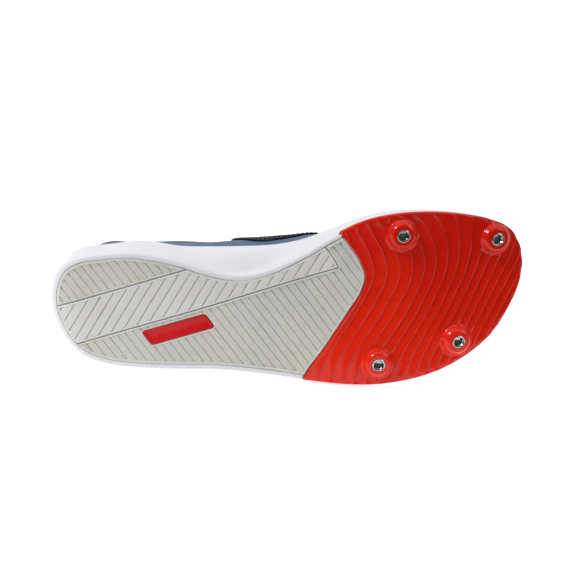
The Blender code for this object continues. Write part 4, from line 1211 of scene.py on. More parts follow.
# Where the upper's weave turns from a band round the heel into a flat sheet over the forefoot, and how
# far forward the collar's binding reaches
WEAVE_TURNS = 0.50
BOUND_TO = 0.41

# Creases of the flex zone, pressed in: place, side, share up the section, length and depth
CREASES = (
    (0.686, 1, 0.80, 0.020, 0.00065),
    (0.686, -1, 0.80, 0.018, 0.00058),
    (0.704, 1, 0.62, 0.022, 0.00078),
    (0.708, -1, 0.66, 0.022, 0.00072),
    (0.724, 1, 0.84, 0.019, 0.00068),
    (0.728, -1, 0.78, 0.020, 0.00064),
    (0.745, 1, 0.60, 0.018, 0.00050),
    (0.749, -1, 0.58, 0.016, 0.00046),
)


def pressed(place, side, up):
    """How far the creases press the upper in here."""
    depth = 0.0
    for crease_place, crease_side, crease_up, length, deep in CREASES:
        if crease_side != side:
            continue
        slant = (up - crease_up) * 0.05
        off = (place - crease_place - slant) * SOLE_LENGTH / FOLD_WIDTH
        run = (up - crease_up) * 0.06 / length
        fold = math.exp(-off * off) - 0.4 * math.exp(-((off - 1.7) ** 2))
        depth += deep * fold * math.exp(-run * run * 4)
    return depth


def upper_grid(rows=34):
    """The upper's outside with its creases, and the share up the section of each point."""
    low = 5
    grid = curve_grid(
        lambda cut, end: np.concatenate([
            np.linspace(0, cut, low, endpoint=False), np.linspace(cut, end, rows - low)
        ])
    )
    up = np.concatenate([np.zeros(low), np.linspace(0, 1, rows - low)])
    return grid, up


def upper_weave(grid):
    """Weave coordinates of the upper: laid flat over the forefoot, and round the heel as a band."""
    columns, rows = grid.shape[:2]
    rise = np.array([arc_lengths(column) for column in grid])
    edge = np.linalg.norm(grid[:, -1, :2] - STARTS, axis=1)[:, None]
    out = edge + rise[:, -1:] - rise
    flat = STARTS[:, None] + WAYS[:, None] * out[:, :, None]
    band = np.zeros((columns, rows, 2))
    side = np.array([station.side for station in STATIONS])
    place = np.array([station.place for station in STATIONS])
    for way in (1, -1):
        own = [k for k in np.argsort(place) if side[k] == way or place[k] in (0.0, 1.0)]
        along = arc_lengths(grid[own, 6])
        middle = int(np.argmin(np.abs(place[own] - WEAVE_TURNS)))
        along += flat[own[middle], 6, 0] - along[middle]
        own_side = side[own] == way
        kept = np.array(own)[own_side]
        band[kept, :, 0] = along[own_side][:, None]
        reach = way * (out[own[middle], 0] - rise[kept])
        band[kept, :, 1] = reach + flat[own[middle], 0, 1] - way * out[own[middle], 0]
    share = smooth((place - WEAVE_TURNS) / 0.12 + 0.5)[:, None, None]
    return (band * (1 - share) + flat * share).reshape(-1, 2) * 1000


def make_upper(mesh_finish, lining_finish, cutters):
    """The hollow upper with its padded, rolled collar, which the floor presses flat."""
    grid, up = upper_grid()
    columns, rows = grid.shape[:2]
    normals = grid_normals(grid)
    press = np.array([[pressed(s.place, s.side, u) for u in up] for s in STATIONS])
    grid = grid - normals * press[:, :, None]
    place = np.array([station.place for station in STATIONS])[:, None]
    heel = 1 - smooth((place - 0.34) / 0.09)
    up = up[None]
    pad = COLLAR_PAD * heel * smooth((up - 0.52) / 0.30) * (1 - 0.55 * smooth((up - 0.93) / 0.07))
    swell = COLLAR_SWELL * heel * smooth((up - 0.80) / 0.10) * (1 - smooth((up - 0.95) / 0.05))
    weave = upper_weave(grid)
    points, faces, index, first, _ = welded(grid.reshape(-1, 3), grid_faces(columns, rows))
    faces = outside_faces(points, faces, points.mean(axis=0))
    bound = np.zeros(len(points), bool)
    bound[index.reshape(columns, rows)[place[:, 0] < BOUND_TO, -4:].ravel()] = True
    out = np.broadcast_to(swell, (columns, rows)).reshape(-1)[first]
    into = (UPPER_WALL + np.broadcast_to(pad, (columns, rows)).reshape(-1))[first]
    solid, shell, kinds, source = rolled_sheet(points, faces, out, into, 6)
    for k, face in enumerate(shell):
        if all(bound[source[i]] for i in face):
            kinds[k] = 1
    made = piece(
        "upper_shell", solid, shell, [mesh_finish, lining_finish],
        weave=weave[first][source], kinds=kinds, sharp=60,
    )
    for vertex in made.data.vertices:
        vertex.co.z = max(vertex.co.z, 0.0)
    drilled(made, cutters)
    return worn(made, "blue_mesh", "upper")


def drilled(made, cutters):
    """Cuts holes through a piece."""
    for cutter in cutters:
        tool = bpy.data.objects.new("cutter", cutter)
        bpy.context.scene.collection.objects.link(tool)
        modifier = made.modifiers.new("Boolean", "BOOLEAN")
        modifier.operation = "DIFFERENCE"
        modifier.object = tool
        graph = bpy.context.evaluated_depsgraph_get()
        cut = bpy.data.meshes.new_from_object(made.evaluated_get(graph))
        made.modifiers.clear()
        made.data = cut
        bpy.data.objects.remove(tool)


def roof(place, across):
    """A point of the upper's outside, bridged over the throat, at a signed distance from the middle."""
    station = Station(place, 1 if across >= 0 else -1, LOOP)
    control, _, _ = section(station)
    edge_radius, edge_height = control[3]
    if abs(across) < edge_radius:
        handle = control[2] - control[3]
        fall = -handle[1] / handle[0]
        height = edge_height + fall * (edge_radius**2 - across**2) / (2 * edge_radius)
    else:
        curve = on_curve(control, np.linspace(1, 0.25, 120))
        height = np.interp(abs(across), curve[:, 0], curve[:, 1])
    return station.at(abs(across), height)


def roof_frame(place, across):
    """A point of the roof, its outward normal and its run towards the toe."""
    step, aside = 0.002, 0.0005
    point = roof(place, across)
    run = roof(place + step, across) - roof(place - step, across)
    over = roof(place, across + aside) - roof(place, across - aside)
    return point, unit(np.cross(run, over)), unit(run)


def eyelet_frames():
    """Place, distance from the middle, point and normal of each eyelet, in pairs from the front."""
    frames = []
    for place in np.linspace(EYELET_FRONT, EYELET_BACK, EYELET_PAIRS):
        pair = []
        for side in (1, -1):
            control, _, end = section(Station(place, side, LOOP))
            edge = on_curve(control, end)[0][0]
            point, normal, _ = roof_frame(place, side * (edge + EYELET_INSET))
            pair.append((place, side * (edge + EYELET_INSET), point, normal))
        frames.append(pair)
    return frames


def eyelet_cutters(eyelets):
    """Round cutters through the upper and the eyestay, in the frame."""
    cutters = []
    for pair in eyelets:
        for _, _, point, normal in pair:
            work = bmesh.new()
            way = Vector(TURN @ normal)
            turn = Vector((0, 0, 1)).rotation_difference(way).to_matrix().to_4x4()
            spot = Matrix.Translation(Vector(laid([point])[0])) @ turn
            bmesh.ops.create_cone(
                work, cap_ends=True, segments=20, radius1=EYELET_RADIUS, radius2=EYELET_RADIUS,
                depth=0.008, matrix=spot,
            )
            mesh = bpy.data.meshes.new("eyelet")
            work.to_mesh(mesh)
            work.free()
            cutters.append(mesh)
    return cutters


def eyestay_patch(side, shares, rows):
    """A side of the eyestay as a grid of points of the upper's outside."""
    table = np.array(EYESTAY_EDGE)
    columns = []
    for share in shares:
        station = Station(share, side, LOOP)
        control, bite, end = section(station)
        cut = bite_share(control, bite)
        lower = read_table(table[:, 0], table[:, 1:], share)[0][0 if side > 0 else 1]
        start = cut + (1 - cut) * lower
        near = CORNER_ROUND - min(share - EYESTAY_BACK, EYESTAY_FRONT - share) * SOLE_LENGTH
        if near > 0:
            raised = CORNER_ROUND - math.sqrt(CORNER_ROUND**2 - near**2)
            start += raised / arc_lengths(on_curve(control, np.linspace(0, 1, 30)))[-1]
        if share < THROAT_FRONT:
            end -= EYESTAY_MARGIN / np.linalg.norm(control[2] - control[3]) / 3
        curve = on_curve(control, np.linspace(start, end, rows))
        columns.append([station.at(radius, height) for radius, height in curve])
    return np.array(columns)


def make_eyestay(finish, cutters):
    """The black overlay round the throat, with its rounded edges and its holes."""
    close = CORNER_ROUND / SOLE_LENGTH
    corner = close * (1 - np.cos(np.linspace(0, math.pi / 2, 9)))
    inner = [share for share in places() if EYESTAY_BACK + close < share < EYESTAY_FRONT - close]
    shares = [*(EYESTAY_BACK + corner), *inner, *(EYESTAY_FRONT - corner[::-1])]
    rows = 22
    patch = grid_faces(len(shares), rows, False)
    mirrored = [tuple(reversed(face)) for face in patch]
    points, faces, *_ = welded(*sum_parts([
        (eyestay_patch(1, shares, rows).reshape(-1, 3), patch),
        (eyestay_patch(-1, shares, rows).reshape(-1, 3), mirrored),
    ]))
    faces = outside_faces(points, faces, points.mean(axis=0) - (0, 0, 0.1))
    out = np.full(len(points), EYESTAY_GAP + EYESTAY_THICK)
    solid, shell, _, source = rolled_sheet(points, faces, out, np.full(len(points), -0.0001), 4)
    made = piece("eyestay_overlay", solid, shell, [finish], weave=points[source][:, :2] * 1000, sharp=50)
    drilled(made, cutters)
    return worn(made, "black_overlay", "eyestay")


def make_insole(finish):
    """The sock liner, with a rim that rises a little at the heel."""
    grid = curve_grid(lambda cut, end: np.array([0.0, 0.1]) * cut)
    inner = (grid - grid_normals(grid) * (UPPER_WALL + GAP))[:, 0]
    rings = []
    top = GAP + INSOLE_THICK
    for share, height in ((1.0, GAP), (1.0, top - 0.0008), (0.985, top - 0.0002), (0.96, top),
                          (0.86, top), (0.7, top), (0.5, top), (0.25, top), (0.0, top)):
        plan = STARTS + (inner[:, :2] - STARTS) * share
        cup = 0.0012 * smooth((share - 0.6) / 0.4) * (share < 1)
        rings.append(np.column_stack([plan, footbed(plan[:, 0]) + height + cup]))
    grid = np.stack(rings, axis=1)
    points, faces, *_ = welded(grid.reshape(-1, 3), grid_faces(*grid.shape[:2]))
    made = piece("sock_liner", points, faces, [finish], weave=points[:, :2] * 1000, sharp=60)
    return worn(made, "dark_lining", "insole")


def make_tongue(finish):
    """A padded tongue with a thin bound edge. The laces press it down under the throat."""
    shares = np.linspace(TONGUE_FRONT, THROAT_TOP, 48)
    across = np.linspace(-1, 1, 25)
    top, low = [], []
    for place in shares:
        narrow = smooth((TONGUE_NARROWS - place) / (TONGUE_NARROWS - THROAT_TOP))
        half = TONGUE_HALF_WIDTH + (TONGUE_TOP_HALF_WIDTH - TONGUE_HALF_WIDTH) * narrow
        frames = [roof_frame(place, offset * half) for offset in across]
        depth = UPPER_WALL + TONGUE_GAP + TONGUE_PRESS * (1 - float(smooth((0.445 - place) / 0.025)))
        under = UPPER_WALL + TONGUE_GAP + TONGUE_THICK
        top.append([point - normal * depth for point, normal, _ in frames])
        low.append([point - normal * under for point, normal, _ in frames])
    for share in np.linspace(0.06, 1.0, 14):
        run = np.array([frame[2] for frame in frames]).mean(axis=0)
        for rows in (top, low):
            rows.append([point - run * TONGUE_ABOVE * share for point in rows[len(shares) - 1]])
    top, low = np.array(top), np.array(low)
    middle, half = (top + low) / 2, (top - low) / 2
    count = len(top)
    for k in range(TONGUE_ROUND):
        centre = middle[k - TONGUE_ROUND].mean(axis=0)
        narrow = math.sqrt(1 - 0.5 * ((k + 1) / TONGUE_ROUND) ** 2)
        middle[k - TONGUE_ROUND] = centre + (middle[k - TONGUE_ROUND] - centre) * narrow
    away = np.minimum(np.arange(count)[::-1] / 5, 1)[:, None]
    edge = np.sqrt(np.clip(1 - np.abs(across) ** 8, 0, 1))[None, :] * np.sqrt(1 - (1 - away) ** 2)
    quilt = 1 + 0.10 * np.cos(across * math.pi * 2)[None, :]
    swell = np.clip(edge, 0.12, 1) * quilt
    top, low = middle + half * swell[:, :, None], middle - half * swell[:, :, None]
    loops = np.concatenate([top, low[:, ::-1]], axis=1)
    rows = loops.shape[1]
    points = loops.reshape(-1, 3)
    faces = tube_faces(count, rows)
    half_row = rows // 2
    for start in (0, (count - 1) * rows):
        faces += [(start + j, start + j + 1, start + rows - 2 - j, start + rows - 1 - j)
                  for j in range(half_row - 1)]
    along = arc_lengths(middle[:, 12])[:, None] * 1000
    side = np.concatenate([across, across[::-1]])[None] * 15
    weave = np.stack([np.broadcast_to(side, (count, rows)), np.broadcast_to(along, (count, rows))], 2)
    made = piece("padded_tongue", points, faces, [finish], weave=weave.reshape(-1, 2), sharp=70)
    worn(made, "dark_lining", "tongue")
    return made


def flat_lace(frames, heading):
    """A flat woven band along frames of (point, normal, share of the width), with its weave coordinates."""
    points = np.array([frame[0] for frame in frames])
    run = unit(np.gradient(points, axis=0))
    turns = np.linspace(0, 2 * math.pi, 16, endpoint=False)
    rows, weave = [], []
    lengths = arc_lengths(points) * 1000
    for point, way, frame, far in zip(points, run, frames, lengths):
        aside = unit(np.cross(frame[1], heading))
        up = np.cross(way, aside)
        width = LACE_WIDTH * frame[2]
        for turn in turns:
            a = math.copysign(abs(math.cos(turn)) ** 0.6, math.cos(turn)) * width / 2
            b = math.copysign(abs(math.sin(turn)) ** 0.8, math.sin(turn)) * LACE_THICK / 2
            rows.append(point + aside * a + up * b)
            weave.append((a * 1000, far))
    count = len(turns)
    faces = tube_faces(len(points), count)
    faces += [tuple(range(count)), tuple(range(len(rows) - 1, len(rows) - count - 1, -1))]
    return np.array(rows), faces, np.array(weave)


def crossing(start, end, over):
    """A run of the lace that comes straight up out of one eyelet, bends over its edge, crosses the throat
    and goes down through the other eyelet."""
    lift = EYESTAY_GAP + EYESTAY_THICK + LACE_THICK / 2 + 0.0001
    length = np.linalg.norm(end[2] - start[2])
    ends = [(LACE_OFFSET, LACE_ROOT), (LACE_OFFSET, (LACE_ROOT + lift - LACE_BEND) / 2)]
    for turn in np.linspace(0, math.pi / 2, 6):
        bend = LACE_BEND * (1 - math.cos(turn)), lift - LACE_BEND * (1 - math.sin(turn))
        ends.append((LACE_OFFSET + bend[0], bend[1]))
    level = np.linspace(ends[-1][0], length - ends[-1][0], 26)[1:-1]
    path = ends + [(far, lift) for far in level] + [(length - far, height) for far, height in reversed(ends)]
    frames = []
    for far, height in path:
        t = far / length
        place = start[0] + (end[0] - start[0]) * t
        point, normal, _ = roof_frame(place, start[1] + (end[1] - start[1]) * t)
        height += over * LACE_THICK * 0.72 * math.exp(-(((t - 0.5) / 0.15) ** 2))
        spread = float(smooth((min(far, length - far) - LACE_OFFSET) / LACE_SPREAD))
        frames.append((point + normal * height, normal, LACE_NARROW + (1 - LACE_NARROW) * spread))
    return flat_lace(frames, (end[2] - start[2]) / length)


def make_laces(finish, eyelets):
    """The flat lace: a bar between the front eyelets, and crossings up to the top ones."""
    runs = [(eyelets[0][0], eyelets[0][1], 0.0)]
    for near, far in zip(eyelets, eyelets[1:]):
        runs += [(near[0], far[1], -0.5), (near[1], far[0], 1.0)]
    bands = [crossing(*run) for run in runs]
    points, faces = sum_parts([(rows, band) for rows, band, _ in bands])
    weave = np.concatenate([woven for _, _, woven in bands])
    made = piece("lace", np.array(points), faces, [finish], weave=weave, sharp=60)
    return worn(made, "black_lace", "laces")


def stitch_row(points, normals, length=0.0021, pitch=0.0030, thick=0.00028):
    """Stitches along a row of surface points: small rounded threads, end to end."""
    far = arc_lengths(points)
    made_points, made_faces = [], []
    turns = np.linspace(0, 2 * math.pi, 6, endpoint=False)
    at = pitch / 2
    while at < far[-1] - pitch / 2:
        ends = []
        for t in np.linspace(-0.5, 0.5, 5):
            s = at + t * length
            ends.append((along_row(far, points, s), unit(along_row(far, normals, s)), t))
        run = unit(ends[-1][0] - ends[0][0])
        first = len(made_points)
        for point, normal, t in ends:
            aside = np.cross(normal, run)
            size = thick * math.sqrt(max(0.05, 1 - (2 * t) ** 4))
            middle = point + normal * (thick * (0.35 - 1.1 * (2 * t) ** 4))
            for turn in turns:
                made_points.append(middle + (aside * math.cos(turn) + normal * math.sin(turn)) * size)
        count = len(turns)
        made_faces += tube_faces(len(ends), count, first)
        last = first + (len(ends) - 1) * count
        made_faces += [tuple(range(first, first + count)), tuple(range(last + count - 1, last - 1, -1))]
        at += pitch
    return made_points, made_faces


def make_stitches(finish):
    """Two rows of stitches along the lower edge of the eyestay, and one along the throat."""
    shares = np.linspace(EYESTAY_BACK + 0.006, EYESTAY_FRONT - 0.006, 90)
    stitch_insets = ((STITCH_INSET, False), (STITCH_SECOND_INSET, False), (STITCH_INSET, True))
    parts = []
    for side in (1, -1):
        grid = eyestay_patch(side, shares, 41)
        flat = grid.reshape(-1, 3)
        normals = point_normals(flat, grid_faces(len(shares), 41, False)).reshape(grid.shape)
        normals *= np.sign(normals[:, :, 2].sum())
        widths = np.array([arc_lengths(column)[-1] for column in grid])
        for inset, top in stitch_insets:
            row = []
            for column, width, normal, share in zip(grid, widths, normals, shares):
                if top and share > THROAT_FRONT - 0.004:
                    continue
                rows = arc_lengths(column)
                s = width - inset if top else inset
                way = along_row(rows, normal, s)
                row.append((along_row(rows, column, s) + way * (EYESTAY_GAP + EYESTAY_THICK), way))
            row_points, row_normals = (np.array(rows) for rows in zip(*row))
            parts.append(stitch_row(row_points, row_normals))
    points, faces = sum_parts(parts)
    made = piece("eyestay_stitches", np.array(points), faces, [finish], sharp=70)
    return worn(made, "black_lace")


# Finishes

class Nodes:
    """Builds a material's nodes with little writing."""

    def __init__(self, name, colour, roughness, metallic=0.0):
        self.material = bpy.data.materials.new(name)
        self.material.use_nodes = True
        self.material.diffuse_color = (*colour, 1)
        self.tree = self.material.node_tree
        self.shader = self.tree.nodes["Principled BSDF"]
        self.shader.inputs["Base Color"].default_value = (*colour, 1)
        self.shader.inputs["Roughness"].default_value = roughness
        self.shader.inputs["Metallic"].default_value = metallic

    def add(self, kind, inputs=None, **settings):
        node = self.tree.nodes.new(kind)
        for key, value in settings.items():
            setattr(node, key, value)
        for key, value in (inputs or {}).items():
            if isinstance(value, bpy.types.NodeSocket):
                self.tree.links.new(value, node.inputs[key])
            else:
                node.inputs[key].default_value = value
        return node

    def math(self, operation, first, second=0.0):
        return self.add("ShaderNodeMath", {0: first, 1: second}, operation=operation).outputs[0]

    def times(self, first, second):
        return self.math("MULTIPLY", first, second)

    def wave(self, value, length_mm):
        """A sine wave of this length along a weave coordinate."""
        return self.math("SINE", self.times(value, 2 * math.pi / length_mm))

    def crossed(self, u, v, length_mm):
        """Sine waves along the two diagonals of the weave."""
        return [self.wave(self.math(way, u, v), length_mm) for way in ("ADD", "SUBTRACT")]

    def tinted(self, mask, amount, colour, tint):
        """The colour with a tint laid over it where the mask is bright."""
        return self.mix(self.times(mask, amount), colour, tint)

    def place(self):
        """Object coordinates, in metres."""
        return self.add("ShaderNodeTexCoord").outputs["Object"]

    def weave(self):
        """The two weave coordinates, in millimetres."""
        source = self.add("ShaderNodeUVMap", uv_map="weave").outputs[0]
        split = self.add("ShaderNodeSeparateXYZ", {0: source})
        return split.outputs[0], split.outputs[1]

    def noise(self, scale, detail=3.0, roughness=0.5):
        inputs = {"Scale": scale, "Detail": detail, "Roughness": roughness, "Vector": self.place()}
        return self.add("ShaderNodeTexNoise", inputs).outputs["Fac"]

    def ramp(self, value, low, high, start=0.0, end=1.0):
        inputs = {"Value": value, "From Min": low, "From Max": high, "To Min": start, "To Max": end}
        return self.add("ShaderNodeMapRange", inputs).outputs["Result"]

    def mix(self, factor, first, second):
        node = self.add("ShaderNodeMix", data_type="RGBA")
        for index, value in ((0, factor), (6, first), (7, second)):
            if isinstance(value, bpy.types.NodeSocket):
                self.tree.links.new(value, node.inputs[index])
            elif index:
                node.inputs[index].default_value = (*value, 1)
            else:
                node.inputs[index].default_value = value
        return node.outputs[2]

    def bump(self, height, strength, distance_m, under=None):
        inputs = {"Height": height, "Strength": strength, "Distance": distance_m}
        if under is not None:
            inputs["Normal"] = under
        return self.add("ShaderNodeBump", inputs).outputs[0]

    def use(self, **sockets):
        names = {"colour": "Base Color", "roughness": "Roughness", "normal": "Normal"}
        for key, value in sockets.items():
            self.tree.links.new(value, self.shader.inputs[names[key]])
        return self.material

    def set(self, **sockets):
        for key, value in sockets.items():
            self.shader.inputs[key.replace("_", " ")].default_value = value


# Spacing of the fine lines in the materials, in millimetres
PLATE_HATCH = 2 * math.pi / 5.2
MESH_CELL = 2.5
RUBBER_LINES = 0.9


def foam_finish():
    n = Nodes("white_foam", (0.70, 0.71, 0.74), 0.5)
    cloud = n.noise(22.0, 4.0)
    grime = n.ramp(n.noise(900.0, 2.0), 0.70, 0.78)
    stain = n.ramp(n.noise(60.0, 5.0), 0.48, 0.75, 0.0, 0.5)
    colour = n.mix(cloud, (0.60, 0.61, 0.65), (0.70, 0.70, 0.72))
    colour = n.tinted(grime, 0.35, colour, (0.42, 0.40, 0.36))
    colour = n.tinted(stain, 0.25, colour, (0.62, 0.60, 0.52))
    grain = n.bump(n.noise(1600.0, 3.0), 0.25, 0.00012)
    dents = n.bump(n.noise(140.0, 2.0), 0.15, 0.0005, grain)
    n.set(Specular_IOR_Level=0.45, Sheen_Weight=0.08)
    return n.use(colour=colour, roughness=n.ramp(cloud, 0.3, 0.7, 0.42, 0.60), normal=dents)


def band_finish():
    n = Nodes("band_foam", (0.62, 0.61, 0.60), 0.5)
    u, _ = n.weave()
    cloud = n.noise(30.0, 4.0)
    speck = n.ramp(n.noise(1500.0, 2.0), 0.70, 0.76)
    colour = n.mix(cloud, (0.56, 0.55, 0.53), (0.68, 0.67, 0.66))
    colour = n.tinted(speck, 0.5, colour, (0.30, 0.28, 0.24))
    grain = n.bump(n.noise(2200.0, 2.0), 0.3, 0.0001)
    lines = n.bump(n.wave(u, 0.6), 0.25, 0.00006, grain)
    n.set(Specular_IOR_Level=0.4)
    return n.use(colour=colour, roughness=n.ramp(cloud, 0.3, 0.7, 0.42, 0.58), normal=lines)


def rubber_finish():
    n = Nodes("grey_rubber", (0.50, 0.49, 0.44), 0.6)
    u, _ = n.weave()
    cloud = n.noise(45.0, 5.0)
    warm = n.ramp(n.noise(18.0, 2.0), 0.45, 0.62)
    speck = n.ramp(n.noise(1300.0, 2.0), 0.67, 0.72)
    rub = n.ramp(n.noise(90.0, 6.0, roughness=0.65), 0.56, 0.70)
    colour = n.mix(cloud, (0.49, 0.485, 0.445), (0.65, 0.645, 0.61))
    colour = n.tinted(warm, 0.35, colour, (0.58, 0.56, 0.45))
    colour = n.tinted(rub, 0.25, colour, (0.33, 0.32, 0.28))
    colour = n.tinted(speck, 0.75, colour, (0.10, 0.09, 0.07))
    grain = n.bump(n.noise(1900.0, 3.0), 0.35, 0.00012)
    ridges = n.math("ABSOLUTE", n.wave(u, 2 * RUBBER_LINES))
    lines = n.bump(ridges, 0.5, 0.00014, grain)
    n.set(Specular_IOR_Level=0.4)
    return n.use(colour=colour, roughness=n.ramp(cloud, 0.3, 0.7, 0.48, 0.68), normal=lines)


def plate_finish():
    n = Nodes("red_plastic", (0.58, 0.012, 0.005), 0.28)
    u, v = n.weave()
    cloud = n.noise(14.0, 2.0)
    colour = n.mix(n.ramp(cloud, 0.35, 0.65), (0.54, 0.007, 0.001), (0.68, 0.016, 0.002))
    hatch = n.times(*n.crossed(u, v, PLATE_HATCH))
    fine = n.bump(hatch, 0.12, 0.00006)
    n.set(Specular_IOR_Level=0.08, Coat_Weight=0.50, Coat_Roughness=0.035, Coat_IOR=1.45,
          Subsurface_Weight=0.12, Subsurface_Scale=0.002)
    n.shader.inputs["Subsurface Radius"].default_value = (1.0, 0.15, 0.08)
    return n.use(colour=colour, roughness=n.ramp(n.noise(220.0, 4.0), 0.3, 0.7, 0.24, 0.34), normal=fine)


def badge_finish():
    n = Nodes("badge_red", (0.60, 0.012, 0.018), 0.35)
    cloud = n.noise(70.0, 3.0)
    colour = n.mix(cloud, (0.44, 0.005, 0.008), (0.60, 0.014, 0.016))
    grain = n.bump(n.noise(1500.0, 3.0), 0.4, 0.00012)
    n.set(Specular_IOR_Level=0.12, Coat_Weight=0.08, Coat_Roughness=0.2)
    return n.use(colour=colour, roughness=n.ramp(cloud, 0.3, 0.7, 0.30, 0.46), normal=grain)


def steel_finish():
    n = Nodes("steel", (0.48, 0.48, 0.47), 0.26, 1.0)
    worn_spots = n.ramp(n.noise(700.0, 4.0), 0.45, 0.65)
    colour = n.mix(worn_spots, (0.52, 0.53, 0.53), (0.30, 0.29, 0.27))
    scratch = n.bump(n.noise(2500.0, 3.0), 0.15, 0.00005)
    return n.use(colour=colour, roughness=n.ramp(worn_spots, 0.0, 1.0, 0.16, 0.34), normal=scratch)


def mesh_finish():
    n = Nodes("blue_mesh", (0.03, 0.11, 0.24), 0.75)
    u, v = n.weave()
    cells = n.math("ABSOLUTE", n.times(*n.crossed(u, v, 2 * MESH_CELL)))
    hole = n.ramp(cells, 0.35, 0.75)
    thread = n.wave(n.math("ADD", u, n.times(v, 0.35)), 0.45)
    cloud = n.noise(25.0, 3.0)
    colour = n.mix(cloud, (0.024, 0.095, 0.21), (0.042, 0.14, 0.27))
    colour = n.tinted(n.ramp(thread, -1, 1), 0.25, colour, (0.08, 0.20, 0.34))
    colour = n.tinted(hole, 0.82, colour, (0.006, 0.028, 0.085))
    knit = n.bump(thread, 0.35, 0.00008)
    lattice = n.bump(cells, 0.9, 0.0005, knit)
    lattice.node.invert = True
    n.set(Specular_IOR_Level=0.25, Sheen_Weight=0.25, Sheen_Roughness=0.5)
    return n.use(colour=colour, roughness=n.ramp(cells, 0.0, 1.0, 0.62, 0.9), normal=lattice)


def overlay_finish():
    n = Nodes("black_overlay", (0.008, 0.009, 0.012), 0.45)
    grain = n.add("ShaderNodeTexVoronoi", {"Vector": n.place(), "Scale": 1400.0}).outputs["Distance"]
    cloud = n.noise(60.0, 4.0)
    colour = n.mix(cloud, (0.006, 0.007, 0.010), (0.014, 0.015, 0.019))
    pores = n.bump(grain, 0.35, 0.00012)
    n.set(Specular_IOR_Level=0.2)
    return n.use(colour=colour, roughness=n.ramp(cloud, 0.3, 0.7, 0.42, 0.58), normal=pores)


def lining_finish():
    n = Nodes("dark_lining", (0.012, 0.024, 0.05), 0.9)
    u, v = n.weave()
    knit = n.times(n.wave(u, 0.8), n.wave(v, 0.8))
    cloud = n.noise(80.0, 3.0)
    colour = n.mix(cloud, (0.010, 0.020, 0.042), (0.022, 0.040, 0.075))
    colour = n.tinted(n.ramp(knit, -1, 1), 0.4, colour, (0.035, 0.060, 0.10))
    weave = n.bump(knit, 0.6, 0.00018)
    n.set(Specular_IOR_Level=0.2, Sheen_Weight=0.3)
    return n.use(colour=colour, roughness=n.ramp(knit, -1, 1, 0.95, 0.8), normal=weave)


def lace_finish():
    n = Nodes("black_lace", (0.012, 0.012, 0.014), 0.85)
    u, v = n.weave()
    slant = n.math("ADD", v, n.math("ABSOLUTE", u))
    plait = n.wave(slant, 0.9)
    cross = n.wave(u, 0.7)
    knit = n.math("ADD", plait, n.times(cross, 0.4))
    colour = n.mix(n.ramp(knit, -1.4, 1.4), (0.005, 0.005, 0.006), (0.022, 0.022, 0.026))
    weave = n.bump(knit, 0.8, 0.0002)
    n.set(Specular_IOR_Level=0.15, Sheen_Weight=0.06)
    return n.use(colour=colour, roughness=n.ramp(knit, -1.4, 1.4, 0.95, 0.75), normal=weave)


# Stage

VIEW_TILT = 15.0
VIEW_ROLL = 2.25
VIEW_DISTANCE = 0.82
VIEW_LENS = 85
VIEW_RISE = 0.004
WORLD_FRONT = 0.09
WORLD_BACK = 0.55
OVERHEAD_SIZE = (1.8, 1.2)
OVERHEAD_POWER = 6.0
KEY_SIZE = (0.26, 0.17)
KEY_POWER = 8.8
FILL_SIZE = (0.8, 0.5)
FILL_POWER = 2.6
FLOOR_SIZE = 8.0
FLOOR_COLOUR = (0.92, 0.92, 0.92)
FLOOR_GLOW = 0.55
FLOOR_FADE = (-0.40, -0.25)
FLOOR_FAR = (0.10, 0.10, 0.10)


def make_camera():
    """The photograph's view of the sole: tilted to the medial side, the shoe's length rising a little
    to the right."""
    tilt, roll = math.radians(VIEW_TILT), math.radians(VIEW_ROLL)
    toward = TURN @ np.array([0, -math.sin(tilt), -math.cos(tilt)])
    along = TURN @ np.array([1.0, 0, 0])
    across = np.cross(toward, along)
    right = along * math.cos(roll) - across * math.sin(roll)
    up = along * math.sin(roll) + across * math.cos(roll)
    sole = laid(bent([(SOLE_LENGTH / 2, 0.0, 0.004)]))[0]
    target = sole + up * VIEW_RISE
    camera = bpy.data.cameras.new("camera")
    camera.lens = VIEW_LENS
    camera.sensor_width = 36
    camera.clip_start = 0.01
    made = bpy.data.objects.new("camera", camera)
    bpy.context.scene.collection.objects.link(made)
    turn = Matrix(np.column_stack([right, up, toward]).tolist())
    made.matrix_world = Matrix.Translation(Vector(target + toward * VIEW_DISTANCE)) @ turn.to_4x4()
    bpy.context.scene.camera = made
    return right, up, toward, target


def area_light(name, location, target, size, power, colour=(1, 1, 1)):
    light = bpy.data.lights.new(name, "AREA")
    light.shape = "RECTANGLE"
    light.size, light.size_y = size
    light.energy = power
    light.color = colour
    made = bpy.data.objects.new(name, light)
    bpy.context.scene.collection.objects.link(made)
    way = Vector(location) - Vector(target)
    turn = way.to_track_quat("Z", "Y").to_matrix().to_4x4()
    made.matrix_world = Matrix.Translation(Vector(location)) @ turn
    return made


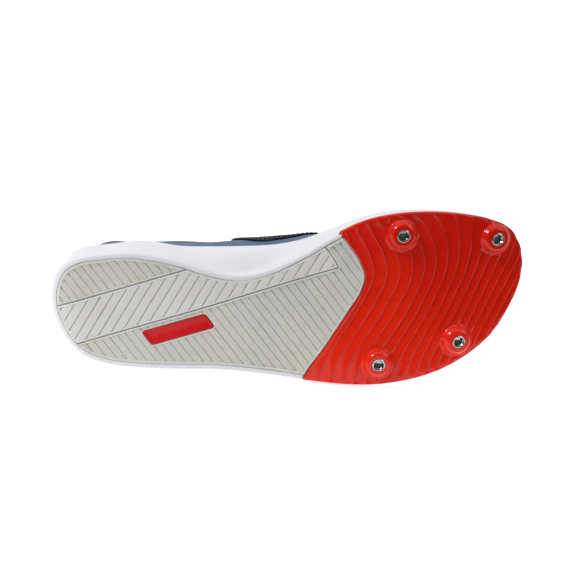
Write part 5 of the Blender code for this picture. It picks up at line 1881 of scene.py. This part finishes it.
def make_world():
    """Bright behind and over the shoe and dim behind the camera, so that glossy pieces keep their colour."""
    world = bpy.data.worlds.new("studio")
    world.use_nodes = True
    tree = world.node_tree
    way = tree.nodes.new("ShaderNodeTexCoord")
    split = tree.nodes.new("ShaderNodeSeparateXYZ")
    tree.links.new(way.outputs["Generated"], split.inputs[0])
    back = tree.nodes.new("ShaderNodeMapRange")
    back.inputs["From Min"].default_value = -0.55
    back.inputs["From Max"].default_value = 0.35
    back.inputs["To Min"].default_value = WORLD_FRONT
    back.inputs["To Max"].default_value = WORLD_BACK
    tree.links.new(split.outputs[1], back.inputs["Value"])
    tree.links.new(back.outputs["Result"], tree.nodes["Background"].inputs[1])
    tree.nodes["Background"].inputs[0].default_value = (1.0, 1.0, 1.0, 1)
    bpy.context.scene.world = world


def make_stage():
    """A pale table, a studio round it and soft lights."""
    right, up, toward, target = make_camera()
    mesh = bpy.data.meshes.new("floor")
    side = FLOOR_SIZE / 2
    corners = [(-side, -side, 0), (side, -side, 0), (side, side, 0), (-side, side, 0)]
    mesh.from_pydata(corners, [], [(0, 1, 2, 3)])
    floor = bpy.data.objects.new("floor", mesh)
    bpy.context.scene.collection.objects.link(floor)
    n = Nodes("floor", FLOOR_COLOUR, 0.9)
    n.set(Specular_IOR_Level=0.1)
    n.shader.inputs["Emission Color"].default_value = (1, 1, 1, 1)
    split = n.add("ShaderNodeSeparateXYZ", {0: n.place()})
    near = n.ramp(split.outputs[1], *FLOOR_FADE)
    n.use(colour=n.mix(near, FLOOR_FAR, FLOOR_COLOUR))
    n.tree.links.new(n.times(near, FLOOR_GLOW), n.shader.inputs["Emission Strength"])
    mesh.materials.append(n.material)
    make_world()
    area_light("overhead", (0.0, 0.25, 1.5), target, OVERHEAD_SIZE, OVERHEAD_POWER)
    key = target - right * 0.62 + up * 0.70 + toward * 0.62
    area_light("key", key, target, KEY_SIZE, KEY_POWER)
    fill = target + right * 0.85 + up * 0.55 + toward * 0.35
    area_light("fill", fill, target, FILL_SIZE, FILL_POWER)
    bpy.context.scene.view_settings.view_transform = "Standard"


def build():
    foam, band = foam_finish(), band_finish()
    rubber, plate = rubber_finish(), plate_finish()
    overlay, lining = overlay_finish(), lining_finish()
    lace, steel = lace_finish(), steel_finish()
    make_stage()
    make_midsole(foam)
    make_band(band)
    make_heel_pod(rubber)
    make_side_pod(rubber)
    make_badge(badge_finish())
    make_plate(plate)
    for number in range(1, len(SOCKET_PLACES) + 1):
        make_socket(number, steel)
    make_insole(lining)
    eyelets = eyelet_frames()
    cutters = eyelet_cutters(eyelets)
    make_upper(mesh_finish(), lining, cutters)
    make_eyestay(overlay, cutters)
    make_tongue(lining)
    make_laces(lace, eyelets)
    make_stitches(lace)


build()
